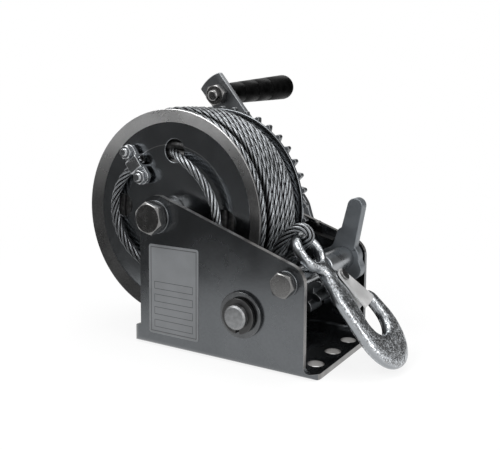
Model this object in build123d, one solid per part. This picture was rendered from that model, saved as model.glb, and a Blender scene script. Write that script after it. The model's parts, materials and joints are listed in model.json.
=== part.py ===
from build123d import *
import os
from math import acos, atan2, cos, degrees, hypot, pi, radians, sin, tan

# Hand winch: a geared rope drum between the sides of a bent channel, with a two-way pawl,
# a bent crank, wire rope and a latched hook. Millimetres, +Z up. X runs forward to the hook,
# Y runs across from the bolt-head side to the crank side. The origin is the middle of the
# base's hole pattern, on the underside.

# Frame channel
PLATE = 4.0                  # sheet thickness
BEND = 3.0                   # inner radius of the two long bends
BASE_REAR, BASE_FRONT = -82.0, 76.0
NEAR_FACE = -52.0            # outer face of the bolt-head side
FAR_FACE = 60.0              # outer face of the crank side
BASE_CORNER = 10.0           # corners of the base, seen from above
FRONT_FLARE, REAR_FLARE = 9.0, 15.0   # heights at which a side widens into the base
REAR_FLARE_R = 9.0           # rounding on top of the rear flare
FLARE_FILLET = 3.5           # inside corner of the front flare
AXLE_X, AXLE_Z = -56.0, 100.0
AXLE_CORNER = 16.0           # side's rounding round the axle
TIE_X, TIE_Z = 53.5, 64.5
TIE_CORNER = 13.5            # side's rounding round the tie bolt
HOLE_SPAN_X = 131.0          # mounting holes, front row to rear row
HOLE_PITCH_Y = 29.0
HOLE_R = 6.0

# Clearances
RUNNING_FIT = 0.05           # radial, shafts in bushes
LOOSE_FIT = 0.25             # radial, bolts in plain holes
FACE_GAP = 0.3               # between faces that only lie side by side

# Axle and tie bolt
AXLE_R = 7.0
AXLE_FLATS, AXLE_HEAD, AXLE_NUT = 22.0, 8.8, 11.0
AXLE_WASHER = (12.6, 2.5)    # outer radius and thickness
TIE_R = 5.0
TIE_FLATS, TIE_HEAD, TIE_NUT = 16.0, 6.4, 8.0
TIE_WASHER = (9.0, 2.0)
TIE_TUBE_R = 7.0
THREAD_SHOW = 2.0            # thread standing out of a nut

# Rope and drum
ROPE_R = 3.5
WINDING_R = 82.0
WINDING_STEP = 8.5           # width beside the far flange that the top layer leaves free
DRUM_WIDTH = 61.0            # between the flanges
FLANGE = 2.5                 # sheet thickness
FLANGE_R = 80.0
DISH_R = 69.5                # where the near flange starts to flare outwards
DISH_RISE = 3.6
FLANGE_HOLE_R = 9.0
FLANGE_HOLE_PITCH_R = 48.5
FLANGE_HOLE_ANGLE = 87.0
FLANGE_HOLES = 4
CORE_R, CORE_WALL = 30.0, 3.0
HUB_R, HUB_WALL = 13.0, 3.0
HUB_END_GAP = 0.6
BUSH_LENGTH = 16.0

# Gears
MODULE = 3.75
GEAR_TEETH = 42
PINION_TEETH = 10
PRESSURE_ANGLE = 25.0
ADDENDUM, DEDENDUM = 0.9, 1.15   # times the module
BACKLASH = 0.4                   # tooth thinning of each gear at the pitch circle
TIP_CROWN = 0.5
PINION_ANGLE = -39.7             # pinion's direction from the axle
GEAR_WIDTH = 5.2
GEAR_HOLES, GEAR_HOLE_R, GEAR_HOLE_PITCH_R = 4, 11.0, 46.0
RIVETS, RIVET_R, RIVET_HEAD_R, RIVET_HEAD = 4, 3.0, 5.5, 2.2

# Pinion shaft, its bushes and the retaining ring
SHAFT_R = 8.5
BUSH_R = 11.0
NEAR_BUSH_FLANGE_R, NEAR_BUSH_FLANGE = 16.5, 3.0
FAR_BUSH_FLANGE_R, FAR_BUSH_FLANGE = 14.0, 2.2
RING_R, RING, RING_GAP = 12.6, 3.2, 3.0
RING_GROOVE = 1.2            # depth of the ring's groove
SHAFT_END = 4.5              # shaft standing out past the ring
SHAFT_CHAMFER = 1.2

# Crank
ARM_HALF_WIDTH = 12.5
ARM = 6.0                    # bar thickness
ARM_ROOT_Y = 68.5            # inner face of the arm at the shaft
ARM_ROOT_R = 15.0
ARM_FLAT = 20.0              # length of the flat stretch round the shaft
ARM_KNEE = 60.0              # distance from the shaft at which the arm bends back
ARM_RISE = 16.8              # how far the bend carries the arm outwards
ARM_LEAN = 5.0               # lean of the upper arm, towards the frame
ARM_BEND_R = 8.0
KNEE_X, KNEE_Z = -11.9, 95.8
GRIP_X, GRIP_Z = -83.5, 192.1
ARM_TIP = 17.8               # arm past the grip's axis
ARM_TIP_R = 36.0
SQUARE = 12.0                # driving square on the shaft
CRANK_THREAD_R, CRANK_FLATS, CRANK_NUT = 6.0, 18.0, 10.0
CRANK_WASHER_R, CRANK_WASHER = 12.0, 2.5
SPINDLE_R, SPINDLE_COLLAR_R, SPINDLE_COLLAR = 5.0, 8.0, 3.0
SPINDLE_DEPTH = 105.0        # spindle inside the grip
SPINDLE_SHOW = 4.5           # spindle standing out of its nut
GRIP_FLATS, GRIP_NUT = 16.0, 8.0
GRIP_R0, GRIP_R1, GRIP_LENGTH, GRIP_DOME = 9.4, 13.1, 132.0, 8.0

# Pawl
PAWL_BUSH_R = 8.0
PAWL_HUB_R = 13.0
PAWL = 9.4                   # thickness
PAWL_SIDE_GAP = 3.0          # pawl to the far side
PAWL_NOSE_REACH = 24.2
PAWL_NOSE_R = 1.8
PAWL_NOSE_SPREAD = 35.0      # either side of the line to the pinion
LEVER_X, LEVER_Z = 62.4, 105.6
LEVER_R0, LEVER_R1 = 7.6, 6.2
HEEL_X, HEEL_Z, HEEL_R = 53.0, 83.0, 5.2    # behind the lever's foot
TOE_X, TOE_Z, TOE_R = 60.3, 55.8, 8.4       # low front lobe
LEAF_X0, LEAF_Z0, LEAF_X1, LEAF_Z1 = 25.0, 80.5, 42.3, 76.0
LEAF, LEAF_WIDTH, LEAF_TAB = 1.2, 9.0, 11.0
LEAF_RIVET_R, LEAF_RIVET_HEAD_R, LEAF_RIVET_HEAD = 2.0, 4.0, 1.6

# Rope end on the near flange: angle round the axle, radius, Y
ANCHOR_ROUTE = [
    (97, 48.5, -25.0), (78, 46.5, -40.0), (50, 45.0, -42.0), (20, 46.5, -41.5), (-10, 49.0, -40.5),
    (-42, 48.0, -40.0), (-75, 46.5, -39.6), (-108, 46.0, -39.2), (-140, 48.5, -38.8),
    (-168, 51.0, -38.4), (168, 51.5, -37.6), (144, 50.2, -36.9), (115, 48.5, -36.9),
]
CLIP_BEND_R = 22.0           # rope's bend beside the clip
CLIP_STUD_R, CLIP_STUD_SPREAD = 3.0, 11.5
CLIP_SADDLE, CLIP_WIDTH = 2.2, 12.0
CLIP_EAR, CLIP_EAR_REST = 4.0, 3.0
CLIP_FLATS, CLIP_NUT, CLIP_STUD_SHOW = 10.0, 4.2, 2.2

# Rope from the drum to the hook's eye and back into its ferrule: X, Y, Z, and bend radii
TAIL_ROUTE = [
    (13.7, -26.5, 49.3), (22.5, -26.2, 60.6), (37.2, -27.2, 89.9), (50.9, -27.2, 100.6),
    (58.7, -22.6, 90.65), (38.7, -22.6, 75.0), (28.7, -24.8, 54.4),
]
TAIL_RADIUS_MAX = 60.0
EYE_TURN_R = 6.0             # rope's turn round the hook's eye
RETURN_BEND_R = 24.0         # returned end's bend into the ferrule
FERRULE_LENGTH, FERRULE_WALL = 9.5, 1.6
FERRULE_START = 5.5          # from the second point of the route

# Hook, in its own plane: A runs from the eye to the bowl, B across, N out of the plane
HOOK_SLOPE = 52.0            # slope of the hook's plane, down and forward
HOOK_TURN = 20.0             # turn of the hook in that plane
HOOK_EYE_U, HOOK_EYE_Y = -11.6, -22.1
HOOK = 9.0                   # thickness
HOOK_EDGE = 2.4              # rounding of its edges
EYE_R, EYE_HOLE_R = 15.3, 9.8
NECK_A, NECK_B, NECK_R = 12.0, 0.3, 3.4
NECK_FILLET = 4.0
BOWL_A, BOWL_B, BOWL_R = 74.4, -1.1, 29.0
SHOULDER_A, SHOULDER_B, SHOULDER_R = 40.0, -9.5, 12.0   # top of the spine
SPINE_R, SPINE_ANGLE = 16.0, 262.0   # spine's end, inside the bowl's outer edge
THROAT_A, THROAT_B, THROAT_R = 66.0, 3.0, 14.5
MOUTH_A, MOUTH_B, MOUTH_R = 36.0, 12.5, 8.0
TIP_A, TIP_SIDE_R, TIP_R = 62.6, 10.0, 3.4
LUG_A, LUG_B, LUG_R, LUG = 29.3, 4.5, 6.0, 5.6
LATCH, LATCH_GAP = 1.2, 0.35
LATCH_PIVOT_R = 5.2
LATCH_TOP_A, LATCH_TOP_B, LATCH_LOW_A, LATCH_LOW_B, LATCH_END_R = 57.0, 15.0, 53.5, -1.5, 2.0
LATCH_WEB_START = 7.5        # web's distance from the pivot
LATCH_RIVET_R, LATCH_RIVET_HEAD_R, LATCH_RIVET_HEAD = 2.5, 4.2, 1.4
LATCH_SPRING, LATCH_SPRING_R = 1.3, 4.4

# Worked-out places
NEAR_INNER = NEAR_FACE + PLATE
FAR_INNER = FAR_FACE - PLATE
FLANGE_OUT = DRUM_WIDTH / 2 + FLANGE
GEAR_END = FLANGE_OUT + GEAR_WIDTH
CENTRES = MODULE * (GEAR_TEETH + PINION_TEETH) / 2
PINION_X = AXLE_X + CENTRES * cos(radians(PINION_ANGLE))
PINION_Z = AXLE_Z + CENTRES * sin(radians(PINION_ANGLE))
HUB_Y0, HUB_Y1 = NEAR_INNER + HUB_END_GAP, FAR_INNER - HUB_END_GAP
PAWL_Y1 = FAR_INNER - PAWL_SIDE_GAP
PAWL_Y0 = PAWL_Y1 - PAWL
TUBE_END = PAWL_Y0 - FACE_GAP
CUT = 1.0                    # how far cutting tools run past a face


def rod(x, z, y0, y1, radius):
    """A cylinder along Y."""
    return Pos(x, (y0 + y1) / 2, z) * Rot(90, 0, 0) * Cylinder(radius, y1 - y0)


def sleeve(x, z, y0, y1, outer, inner):
    """A plain tube along Y."""
    return rod(x, z, y0, y1, outer) - rod(x, z, y0 - CUT, y1 + CUT, inner)


def slab(sketch, y0, y1):
    """A sketch drawn in X and Z, made solid between two values of Y."""
    plane = Plane((0, y1, 0), x_dir=(1, 0, 0), z_dir=(0, -1, 0))
    return extrude(plane * sketch, amount=y1 - y0, dir=plane.z_dir)


def hexagon(x, z, y0, y1, flats, turn=0):
    """A hexagonal head or nut; turn is the angle of one of its flats."""
    return slab(Pos(x, z) * Rot(0, 0, turn - 30) * RegularPolygon(flats / 2, 6, major_radius=False), y0, y1)


def link(x0, y0, r0, x1, y1, r1):
    """The flat shape of a belt round two discs."""
    heading = atan2(y1 - y0, x1 - x0)
    spread = acos((r0 - r1) / hypot(x1 - x0, y1 - y0))

    def start(turn):
        return x0 + r0 * cos(heading + turn), y0 + r0 * sin(heading + turn)

    def end(turn):
        return x1 + r1 * cos(heading + turn), y1 + r1 * sin(heading + turn)

    return make_face([
        Line(start(-spread), end(-spread)),
        ThreePointArc(end(-spread), end(0), end(spread)),
        Line(end(spread), start(spread)),
        ThreePointArc(start(spread), start(pi), start(-spread)),
    ])


def nearest(items, x, y):
    return min(items, key=lambda item: hypot(item.X - x, item.Y - y))


def around_axle(angle, radius):
    """X and Z of a point at an angle round the axle."""
    return AXLE_X + radius * cos(radians(angle)), AXLE_Z + radius * sin(radians(angle))


def cord(points, radii):
    """A round rope along straight runs joined by tangent arcs."""
    path = FilletPolyline(*points, radius=radii)
    return sweep(Plane(path @ 0, z_dir=path % 0) * Circle(ROPE_R), path=path)


def bend_radii(points, limit):
    """The largest arc that each corner's runs leave room for, up to a limit."""
    radii = []
    for before, at, after in zip(points, points[1:], points[2:]):
        into, out = Vector(*at) - Vector(*before), Vector(*after) - Vector(*at)
        half_turn = radians(into.get_angle(out)) / 2
        radii.append(min(limit, 0.45 * min(into.length, out.length) / tan(half_turn)))
    return radii


def frame_channel():
    width, height = FAR_FACE - NEAR_FACE, AXLE_Z + 2 * AXLE_CORNER
    middle = (FAR_FACE + NEAR_FACE) / 2
    outer = Pos(middle, height / 2) * Rectangle(width, height)
    outer = fillet(outer.vertices().sort_by(Axis.Y)[:2], BEND + PLATE)
    inner = Pos(middle, height / 2 + PLATE) * Rectangle(width - 2 * PLATE, height)
    inner = fillet(inner.vertices().sort_by(Axis.Y)[:2], BEND)
    section = Plane((BASE_REAR, 0, 0), x_dir=(0, 1, 0), z_dir=(1, 0, 0)) * (outer - inner)
    channel = extrude(section, amount=BASE_FRONT - BASE_REAR)

    # Side view: two rounded corners joined by a tangent, widening into the base
    rear, front = AXLE_X - AXLE_CORNER, TIE_X + TIE_CORNER
    run, drop = TIE_X - AXLE_X, TIE_Z - AXLE_Z
    lean = atan2(drop, run) + acos((AXLE_CORNER - TIE_CORNER) / hypot(run, drop))
    side = Polygon(
        (rear, 0), (front, 0), (front, TIE_Z), (TIE_X, TIE_Z),
        (TIE_X + TIE_CORNER * cos(lean), TIE_Z + TIE_CORNER * sin(lean)),
        (AXLE_X + AXLE_CORNER * cos(lean), AXLE_Z + AXLE_CORNER * sin(lean)),
        (AXLE_X, AXLE_Z), (rear, AXLE_Z), align=None)
    side += Pos(AXLE_X, AXLE_Z) * Circle(AXLE_CORNER)
    side += Pos(TIE_X, TIE_Z) * Circle(TIE_CORNER)
    side += Pos(BASE_FRONT / 2, FRONT_FLARE / 2) * Rectangle(BASE_FRONT, FRONT_FLARE)
    side += Pos(BASE_REAR / 2, REAR_FLARE / 2) * Rectangle(-BASE_REAR, REAR_FLARE)
    side = fillet(nearest(side.vertices(), front, FRONT_FLARE), FLARE_FILLET)
    side = fillet(nearest(side.vertices(), BASE_REAR, REAR_FLARE), REAR_FLARE_R)
    body = channel & slab(side, NEAR_FACE - CUT, FAR_FACE + CUT)
    plan = Pos((BASE_FRONT + BASE_REAR) / 2, middle)
    plan = plan * RectangleRounded(BASE_FRONT - BASE_REAR, width, BASE_CORNER)
    body = body & extrude(plan, amount=height)

    for x, z, radius in ((AXLE_X, AXLE_Z, AXLE_R + LOOSE_FIT), (TIE_X, TIE_Z, TIE_R + LOOSE_FIT),
                         (PINION_X, PINION_Z, BUSH_R + RUNNING_FIT)):
        body -= rod(x, z, NEAR_FACE - CUT, FAR_FACE + CUT, radius)
    for x in (-HOLE_SPAN_X / 2, HOLE_SPAN_X / 2):
        for y in (-HOLE_PITCH_Y, 0, HOLE_PITCH_Y):
            body -= Pos(x, y, PLATE / 2) * Cylinder(HOLE_R, PLATE + 2 * CUT)
    return body - leaf_rivet_rod(FAR_INNER - CUT, FAR_FACE + CUT, LEAF_RIVET_R + RUNNING_FIT)


def through_bolt(x, z, radius, flats, head, washer, nut, name):
    """A bolt through both sides, its nut and a washer at each end."""
    washer_r, thickness = washer
    head_face, nut_face = NEAR_FACE - thickness, FAR_FACE + thickness
    end = nut_face + nut + THREAD_SHOW
    bolt = hexagon(x, z, head_face - head, head_face, flats) + rod(x, z, head_face, end, radius)
    bolt_nut = hexagon(x, z, nut_face, nut_face + nut, flats)
    bolt_nut -= rod(x, z, nut_face - CUT, end + CUT, radius + RUNNING_FIT)
    washers = Compound([
        sleeve(x, z, head_face, NEAR_FACE, washer_r, radius + LOOSE_FIT),
        sleeve(x, z, FAR_FACE, nut_face, washer_r, radius + LOOSE_FIT)])
    return {name + "_bolt": bolt, name + "_nut": bolt_nut, name + "_washers": washers}


def gear_face(teeth, tooth_angle):
    """An involute gear's outline round the origin, with one tooth at an angle."""
    pitch = MODULE * teeth / 2
    base = pitch * cos(radians(PRESSURE_ANGLE))
    root, tip = pitch - DEDENDUM * MODULE, pitch + ADDENDUM * MODULE - TIP_CROWN
    half = pi / (2 * teeth) - BACKLASH / (2 * pitch)

    def unwound(radius):
        turn = acos(min(1.0, base / radius))
        return tan(turn) - turn

    def flank(radius):
        return half + unwound(pitch) - unwound(radius)

    def at(radius, angle):
        return radius * cos(angle), radius * sin(angle)

    foot = max(base, root)
    middle = (foot + tip) / 2
    edges = []
    for number in range(teeth):
        centre = radians(tooth_angle) + 2 * pi * number / teeth
        gap = centre + pi / teeth
        rise, fall = at(tip, centre - flank(tip)), at(tip, centre + flank(tip))
        start, end = at(foot, centre - flank(foot)), at(foot, centre + flank(foot))
        low_start, low_end = at(root, centre - flank(foot)), at(root, centre + flank(foot))
        if foot > root:
            edges += [Line(low_start, start), Line(end, low_end)]
        edges.append(ThreePointArc(start, at(middle, centre - flank(middle)), rise))
        edges.append(ThreePointArc(rise, at(tip + TIP_CROWN, centre), fall))
        edges.append(ThreePointArc(fall, at(middle, centre + flank(middle)), end))
        edges.append(ThreePointArc(low_end, at(root, gap), at(root, gap + pi / teeth - flank(foot))))
    return make_face(edges)


def drive_gear():
    blank = slab(Pos(AXLE_X, AXLE_Z) * gear_face(GEAR_TEETH, PINION_ANGLE), FLANGE_OUT, GEAR_END)
    blank -= rod(AXLE_X, AXLE_Z, FLANGE_OUT - CUT, GEAR_END + CUT, HUB_R + RUNNING_FIT)
    for number in range(GEAR_HOLES):
        x, z = around_axle(45 + 360 / GEAR_HOLES * number, GEAR_HOLE_PITCH_R)
        blank -= rod(x, z, FLANGE_OUT - CUT, GEAR_END + CUT, GEAR_HOLE_R)
    for x, z in rivet_places():
        blank -= rod(x, z, FLANGE_OUT - CUT, GEAR_END + CUT, RIVET_R + RUNNING_FIT)
    return blank


def rivet_places():
    return [around_axle(360 / RIVETS * number, GEAR_HOLE_PITCH_R) for number in range(RIVETS)]


def gear_rivets():
    solids = []
    for x, z in rivet_places():
        shank = rod(x, z, DRUM_WIDTH / 2 + FACE_GAP, GEAR_END, RIVET_R)
        solids.append(shank + rod(x, z, GEAR_END, GEAR_END + RIVET_HEAD, RIVET_HEAD_R))
    return Compound(solids)


def near_flange():
    """A pressed disc whose rim flares towards the near side, with four large holes."""
    inner, outer = -DRUM_WIDTH / 2, -FLANGE_OUT
    profile = Polygon(
        (HUB_R + RUNNING_FIT, inner), (DISH_R, inner), (FLANGE_R, inner - DISH_RISE),
        (FLANGE_R, outer - DISH_RISE), (DISH_R, outer), (HUB_R + RUNNING_FIT, outer), align=None)
    disc = revolve(Plane.XY * profile, Axis.Y)
    disc = Pos(AXLE_X, 0, AXLE_Z) * disc
    for number in range(FLANGE_HOLES):
        x, z = around_axle(FLANGE_HOLE_ANGLE + 360 / FLANGE_HOLES * number, FLANGE_HOLE_PITCH_R)
        disc -= rod(x, z, outer - CUT, inner + CUT, FLANGE_HOLE_R)
    for x, z in clip_studs():
        disc -= rod(x, z, outer - CUT, inner + CUT, CLIP_STUD_R + RUNNING_FIT)
    return disc


def far_flange():
    disc = sleeve(AXLE_X, AXLE_Z, DRUM_WIDTH / 2, FLANGE_OUT, FLANGE_R, HUB_R + RUNNING_FIT)
    for x, z in rivet_places():
        disc -= rod(x, z, DRUM_WIDTH / 2 - CUT, FLANGE_OUT + CUT, RIVET_R + RUNNING_FIT)
    return disc


def drum_bushes():
    starts = (HUB_Y0, HUB_Y1 - BUSH_LENGTH)
    return Compound([
        sleeve(AXLE_X, AXLE_Z, y, y + BUSH_LENGTH, HUB_R - HUB_WALL, AXLE_R + RUNNING_FIT) for y in starts])


def clip_frame():
    """Middle of the rope's last run, and the directions along it and away from the axle."""
    ends = [Vector(*around_axle(angle, radius)) for angle, radius, y in ANCHOR_ROUTE[-2:]]
    along = (ends[1] - ends[0]).normalized()
    return (ends[0] + ends[1]) * 0.5, along, Vector(along.Y, -along.X)


def clip_studs():
    middle, along, away = clip_frame()
    places = [middle + away * (side * CLIP_STUD_SPREAD) for side in (1, -1)]
    return [(place.X, place.Y) for place in places]


def clip_bridge(y0, y1, margin):
    """The U-bolt's back, behind the near flange, as a bar between the studs."""
    (x0, z0), (x1, z1) = clip_studs()
    radius = CLIP_STUD_R + margin
    return slab(link(x0, z0, radius, x1, z1, radius), y0, y1)


def rope_winding():
    half = DRUM_WIDTH / 2 - FACE_GAP
    ring = sleeve(AXLE_X, AXLE_Z, -half, half, WINDING_R, CORE_R + FACE_GAP)
    ring -= sleeve(AXLE_X, AXLE_Z, half - WINDING_STEP, half + CUT, WINDING_R + CUT, WINDING_R - 2 * ROPE_R)
    pocket_end = -DRUM_WIDTH / 2 + FACE_GAP + 2 * CLIP_STUD_R
    return ring - clip_bridge(-DRUM_WIDTH / 2 - CUT, pocket_end + FACE_GAP, FACE_GAP)


def anchor_u_bolt():
    inner = -DRUM_WIDTH / 2 + FACE_GAP / 2
    end = -FLANGE_OUT - CLIP_EAR_REST - CLIP_EAR - CLIP_NUT - CLIP_STUD_SHOW
    bolt = clip_bridge(inner, inner + 2 * CLIP_STUD_R, 0)
    for x, z in clip_studs():
        bolt += rod(x, z, end, inner + CLIP_STUD_R, CLIP_STUD_R)
    return bolt


def anchor_saddle():
    """A bridge over the rope, with an ear for each stud."""
    middle, along, away = clip_frame()
    ear_face = CLIP_EAR_REST + CLIP_EAR
    crown = 2 * ROPE_R + 2 * FACE_GAP + CLIP_SADDLE
    half = CLIP_STUD_SPREAD + CLIP_WIDTH / 2
    arch = ROPE_R + FACE_GAP
    profile = Pos(0, CLIP_EAR_REST + CLIP_EAR / 2) * Rectangle(2 * half, CLIP_EAR)
    profile += Pos(0, crown / 2) * Rectangle(2 * (arch + CLIP_SADDLE), crown)
    profile = fillet([v for v in profile.vertices() if v.Y > ear_face + CUT], CLIP_SADDLE)
    profile -= Pos(0, arch / 2) * Rectangle(2 * arch, arch)
    profile -= Pos(0, arch) * Circle(arch)
    along = Vector(along.X, 0, along.Y)
    plane = Plane((middle.X, -FLANGE_OUT, middle.Y), x_dir=Vector(0, -1, 0).cross(along), z_dir=along)
    saddle = extrude(plane * profile, amount=CLIP_WIDTH / 2, both=True)
    (x0, z0), (x1, z1) = clip_studs()
    saddle &= slab(link(x0, z0, CLIP_WIDTH / 2, x1, z1, CLIP_WIDTH / 2), -FLANGE_OUT - crown - CUT, -FLANGE_OUT)
    for sx, sz in clip_studs():
        saddle -= rod(sx, sz, -FLANGE_OUT - crown - CUT, -FLANGE_OUT, CLIP_STUD_R + RUNNING_FIT)
    return saddle


def anchor_nuts():
    seat = -FLANGE_OUT - CLIP_EAR_REST - CLIP_EAR
    middle, along, away = clip_frame()
    turn = degrees(atan2(away.Y, away.X))
    solids = []
    for x, z in clip_studs():
        hole = rod(x, z, seat - CLIP_NUT - CUT, seat + CUT, CLIP_STUD_R + RUNNING_FIT)
        solids.append(hexagon(x, z, seat - CLIP_NUT, seat, CLIP_FLATS, turn) - hole)
    return Compound(solids)


def rope_anchor_end():
    points = []
    for angle, radius, y in ANCHOR_ROUTE:
        x, z = around_axle(angle, radius)
        points.append((x, y, z))
    radii = bend_radii(points, TAIL_RADIUS_MAX)
    radii[-1] = CLIP_BEND_R
    print("anchor end radii", [round(r, 1) for r in radii])
    return cord(points, radii)


def rope_tail():
    radii = bend_radii(TAIL_ROUTE, TAIL_RADIUS_MAX)
    turn = slice(2, 4)
    radii[turn] = [EYE_TURN_R] * len(radii[turn])
    radii[-1] = RETURN_BEND_R
    print("tail radii", [round(r, 1) for r in radii])
    return cord(TAIL_ROUTE, radii)


def rope_ferrule():
    """A pressed oval sleeve round the standing rope and the returned end."""
    start, standing = Vector(*TAIL_ROUTE[1]), (Vector(*TAIL_ROUTE[2]) - Vector(*TAIL_ROUTE[1])).normalized()
    end, back = Vector(*TAIL_ROUTE[-1]), (Vector(*TAIL_ROUTE[-2]) - Vector(*TAIL_ROUTE[-1])).normalized()
    across = (end - start) - standing * (end - start).dot(standing)
    spread = across.length
    plane = Plane(start + standing * FERRULE_START, x_dir=across, z_dir=standing)
    shell = link(0, 0, ROPE_R + FERRULE_WALL, spread, 0, ROPE_R + FERRULE_WALL)
    body = extrude(plane * shell, amount=FERRULE_LENGTH)
    reach = FERRULE_LENGTH + 2 * FERRULE_START
    for origin, direction in ((start, standing), (end, back)):
        bore = Plane(origin, z_dir=direction) * Circle(ROPE_R + RUNNING_FIT)
        body -= extrude(bore, amount=2 * reach)
    return body


def pinion_gear():
    y0, y1 = FLANGE_OUT + 2 * FACE_GAP, FAR_INNER - FAR_BUSH_FLANGE - FACE_GAP
    gap_angle = PINION_ANGLE + 180 + 180 / PINION_TEETH
    gear = slab(Pos(PINION_X, PINION_Z) * gear_face(PINION_TEETH, gap_angle), y0, y1)
    return gear - rod(PINION_X, PINION_Z, y0 - CUT, y1 + CUT, SHAFT_R + RUNNING_FIT)


def ring_y():
    inner = NEAR_FACE - NEAR_BUSH_FLANGE - FACE_GAP
    return inner - RING, inner


def driving_square(side):
    return Pos(PINION_X, PINION_Z) * Rot(0, 0, arm_angle()) * Rectangle(side, side)


def pinion_shaft():
    ring0, ring1 = ring_y()
    near_end, square_end = ring0 - SHAFT_END, ARM_ROOT_Y + ARM - FACE_GAP
    thread_end = ARM_ROOT_Y + ARM + CRANK_WASHER + CRANK_NUT + THREAD_SHOW
    shaft = rod(PINION_X, PINION_Z, near_end, ARM_ROOT_Y, SHAFT_R)
    shaft = chamfer(shaft.edges().sort_by(Axis.Y)[0], SHAFT_CHAMFER)
    groove0, groove1 = ring0 - FACE_GAP / 2, ring1 + FACE_GAP / 2
    shaft -= sleeve(PINION_X, PINION_Z, groove0, groove1, SHAFT_R + CUT, SHAFT_R - RING_GROOVE)
    shaft += slab(driving_square(SQUARE), ARM_ROOT_Y, square_end)
    return shaft + rod(PINION_X, PINION_Z, square_end, thread_end, CRANK_THREAD_R)


def retaining_ring():
    y0, y1 = ring_y()
    ring = sleeve(PINION_X, PINION_Z, y0, y1, RING_R, SHAFT_R - RING_GROOVE + RUNNING_FIT)
    slot = Pos(PINION_X, PINION_Z - RING_R) * Rectangle(RING_GAP, 2 * RING_R - RING_GAP)
    return ring - slab(slot, y0 - CUT, y1 + CUT)


def pinion_bushes():
    bore, barrel = SHAFT_R + RUNNING_FIT, BUSH_R
    near = sleeve(PINION_X, PINION_Z, NEAR_FACE, NEAR_INNER, barrel, bore)
    near += sleeve(PINION_X, PINION_Z, NEAR_FACE - NEAR_BUSH_FLANGE, NEAR_FACE, NEAR_BUSH_FLANGE_R, bore)
    far = sleeve(PINION_X, PINION_Z, FAR_INNER, FAR_FACE, barrel, bore)
    far += sleeve(PINION_X, PINION_Z, FAR_INNER - FAR_BUSH_FLANGE, FAR_INNER, FAR_BUSH_FLANGE_R, bore)
    return {"pinion_bush_near": near, "pinion_bush_far": far}


def crank_fasteners():
    seat = ARM_ROOT_Y + ARM
    nut_seat = seat + CRANK_WASHER
    end = nut_seat + CRANK_NUT
    nut = hexagon(PINION_X, PINION_Z, nut_seat, end, CRANK_FLATS)
    washer = rod(PINION_X, PINION_Z, seat, nut_seat, CRANK_WASHER_R)
    return {
        "crank_washer": washer - rod(PINION_X, PINION_Z, seat - CUT, end, CRANK_THREAD_R + LOOSE_FIT),
        "crank_nut": nut - rod(PINION_X, PINION_Z, seat, end + CUT, CRANK_THREAD_R + RUNNING_FIT),
    }


def arm_angle():
    """Turn of the arm, from straight up towards the rear, in degrees."""
    return degrees(atan2(PINION_X - GRIP_X, GRIP_Z - PINION_Z))


def arm_face(distance):
    """Y of the arm's inner face at a distance from the shaft, past the knee."""
    return ARM_ROOT_Y + ARM_RISE - (distance - ARM_KNEE) * tan(radians(ARM_LEAN))


def crank_arm():
    """A flat bar, bent outwards past the tie nut and then leaning back."""
    length = hypot(GRIP_X - KNEE_X, GRIP_Z - KNEE_Z) + ARM_TIP
    upper = degrees(atan2(KNEE_X - GRIP_X, GRIP_Z - KNEE_Z))
    strip = Pos(0, length / 2) * Rectangle(2 * ARM_HALF_WIDTH, length)
    strip = strip & link(0, 0, ARM_TIP_R, 0, length - ARM_TIP_R, ARM_TIP_R)
    plan = Pos(KNEE_X, KNEE_Z) * Rot(0, 0, upper) * strip
    plan += link(PINION_X, PINION_Z, ARM_ROOT_R, KNEE_X, KNEE_Z, ARM_HALF_WIDTH)

    # Edge view: along the arm and outwards
    total = hypot(GRIP_X - PINION_X, GRIP_Z - PINION_Z) + 2 * ARM_TIP
    inner = [(-2 * ARM_ROOT_R, ARM_ROOT_Y), (ARM_FLAT, ARM_ROOT_Y),
             (ARM_KNEE, ARM_ROOT_Y + ARM_RISE), (total, arm_face(total))]
    outer = [(s, y + ARM) for s, y in reversed(inner)]
    edge_view = Polygon(*inner, *outer, align=None)
    bends = [v for v in edge_view.vertices() if 0 < v.X < total - CUT]
    edge_view = fillet(bends, ARM_BEND_R)
    along = Vector(-sin(radians(arm_angle())), 0, cos(radians(arm_angle())))
    plane = Plane((PINION_X, 0, PINION_Z), x_dir=along, z_dir=along.cross(Vector(0, 1, 0)))
    bar = extrude(plane * edge_view, amount=total, both=True)
    arm = bar & slab(plan, ARM_ROOT_Y - CUT, ARM_ROOT_Y + ARM_RISE + 2 * ARM)
    arm -= slab(driving_square(SQUARE + 2 * RUNNING_FIT), ARM_ROOT_Y - CUT, ARM_ROOT_Y + ARM + CUT)
    return arm - grip_rod(-GRIP_NUT, 2 * ARM, SPINDLE_R + RUNNING_FIT)


def grip_plane():
    """The grip's axis: its origin on the arm's inner face, Z outwards along the grip."""
    distance = hypot(GRIP_X - PINION_X, GRIP_Z - PINION_Z)
    turn, lean = radians(arm_angle()), radians(ARM_LEAN)
    axis = Vector(-sin(turn) * sin(lean), cos(lean), cos(turn) * sin(lean))
    return Plane((GRIP_X, arm_face(distance), GRIP_Z), x_dir=(cos(turn), 0, sin(turn)), z_dir=axis)


def grip_rod(start, end, radius):
    return grip_plane() * Pos(0, 0, (start + end) / 2) * Cylinder(radius, end - start)


def grip_start():
    return ARM + SPINDLE_COLLAR + 2 * FACE_GAP


def grip_spindle():
    collar = ARM + FACE_GAP
    spindle = grip_rod(-GRIP_NUT - SPINDLE_SHOW - FACE_GAP, grip_start() + SPINDLE_DEPTH, SPINDLE_R)
    return spindle + grip_rod(collar, collar + SPINDLE_COLLAR, SPINDLE_COLLAR_R)


def grip_nut():
    flat = RegularPolygon(GRIP_FLATS / 2, 6, major_radius=False)
    nut = extrude(grip_plane() * Pos(0, 0, -GRIP_NUT - FACE_GAP) * flat, amount=GRIP_NUT)
    return nut - grip_rod(-2 * GRIP_NUT, CUT, SPINDLE_R + RUNNING_FIT)


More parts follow.
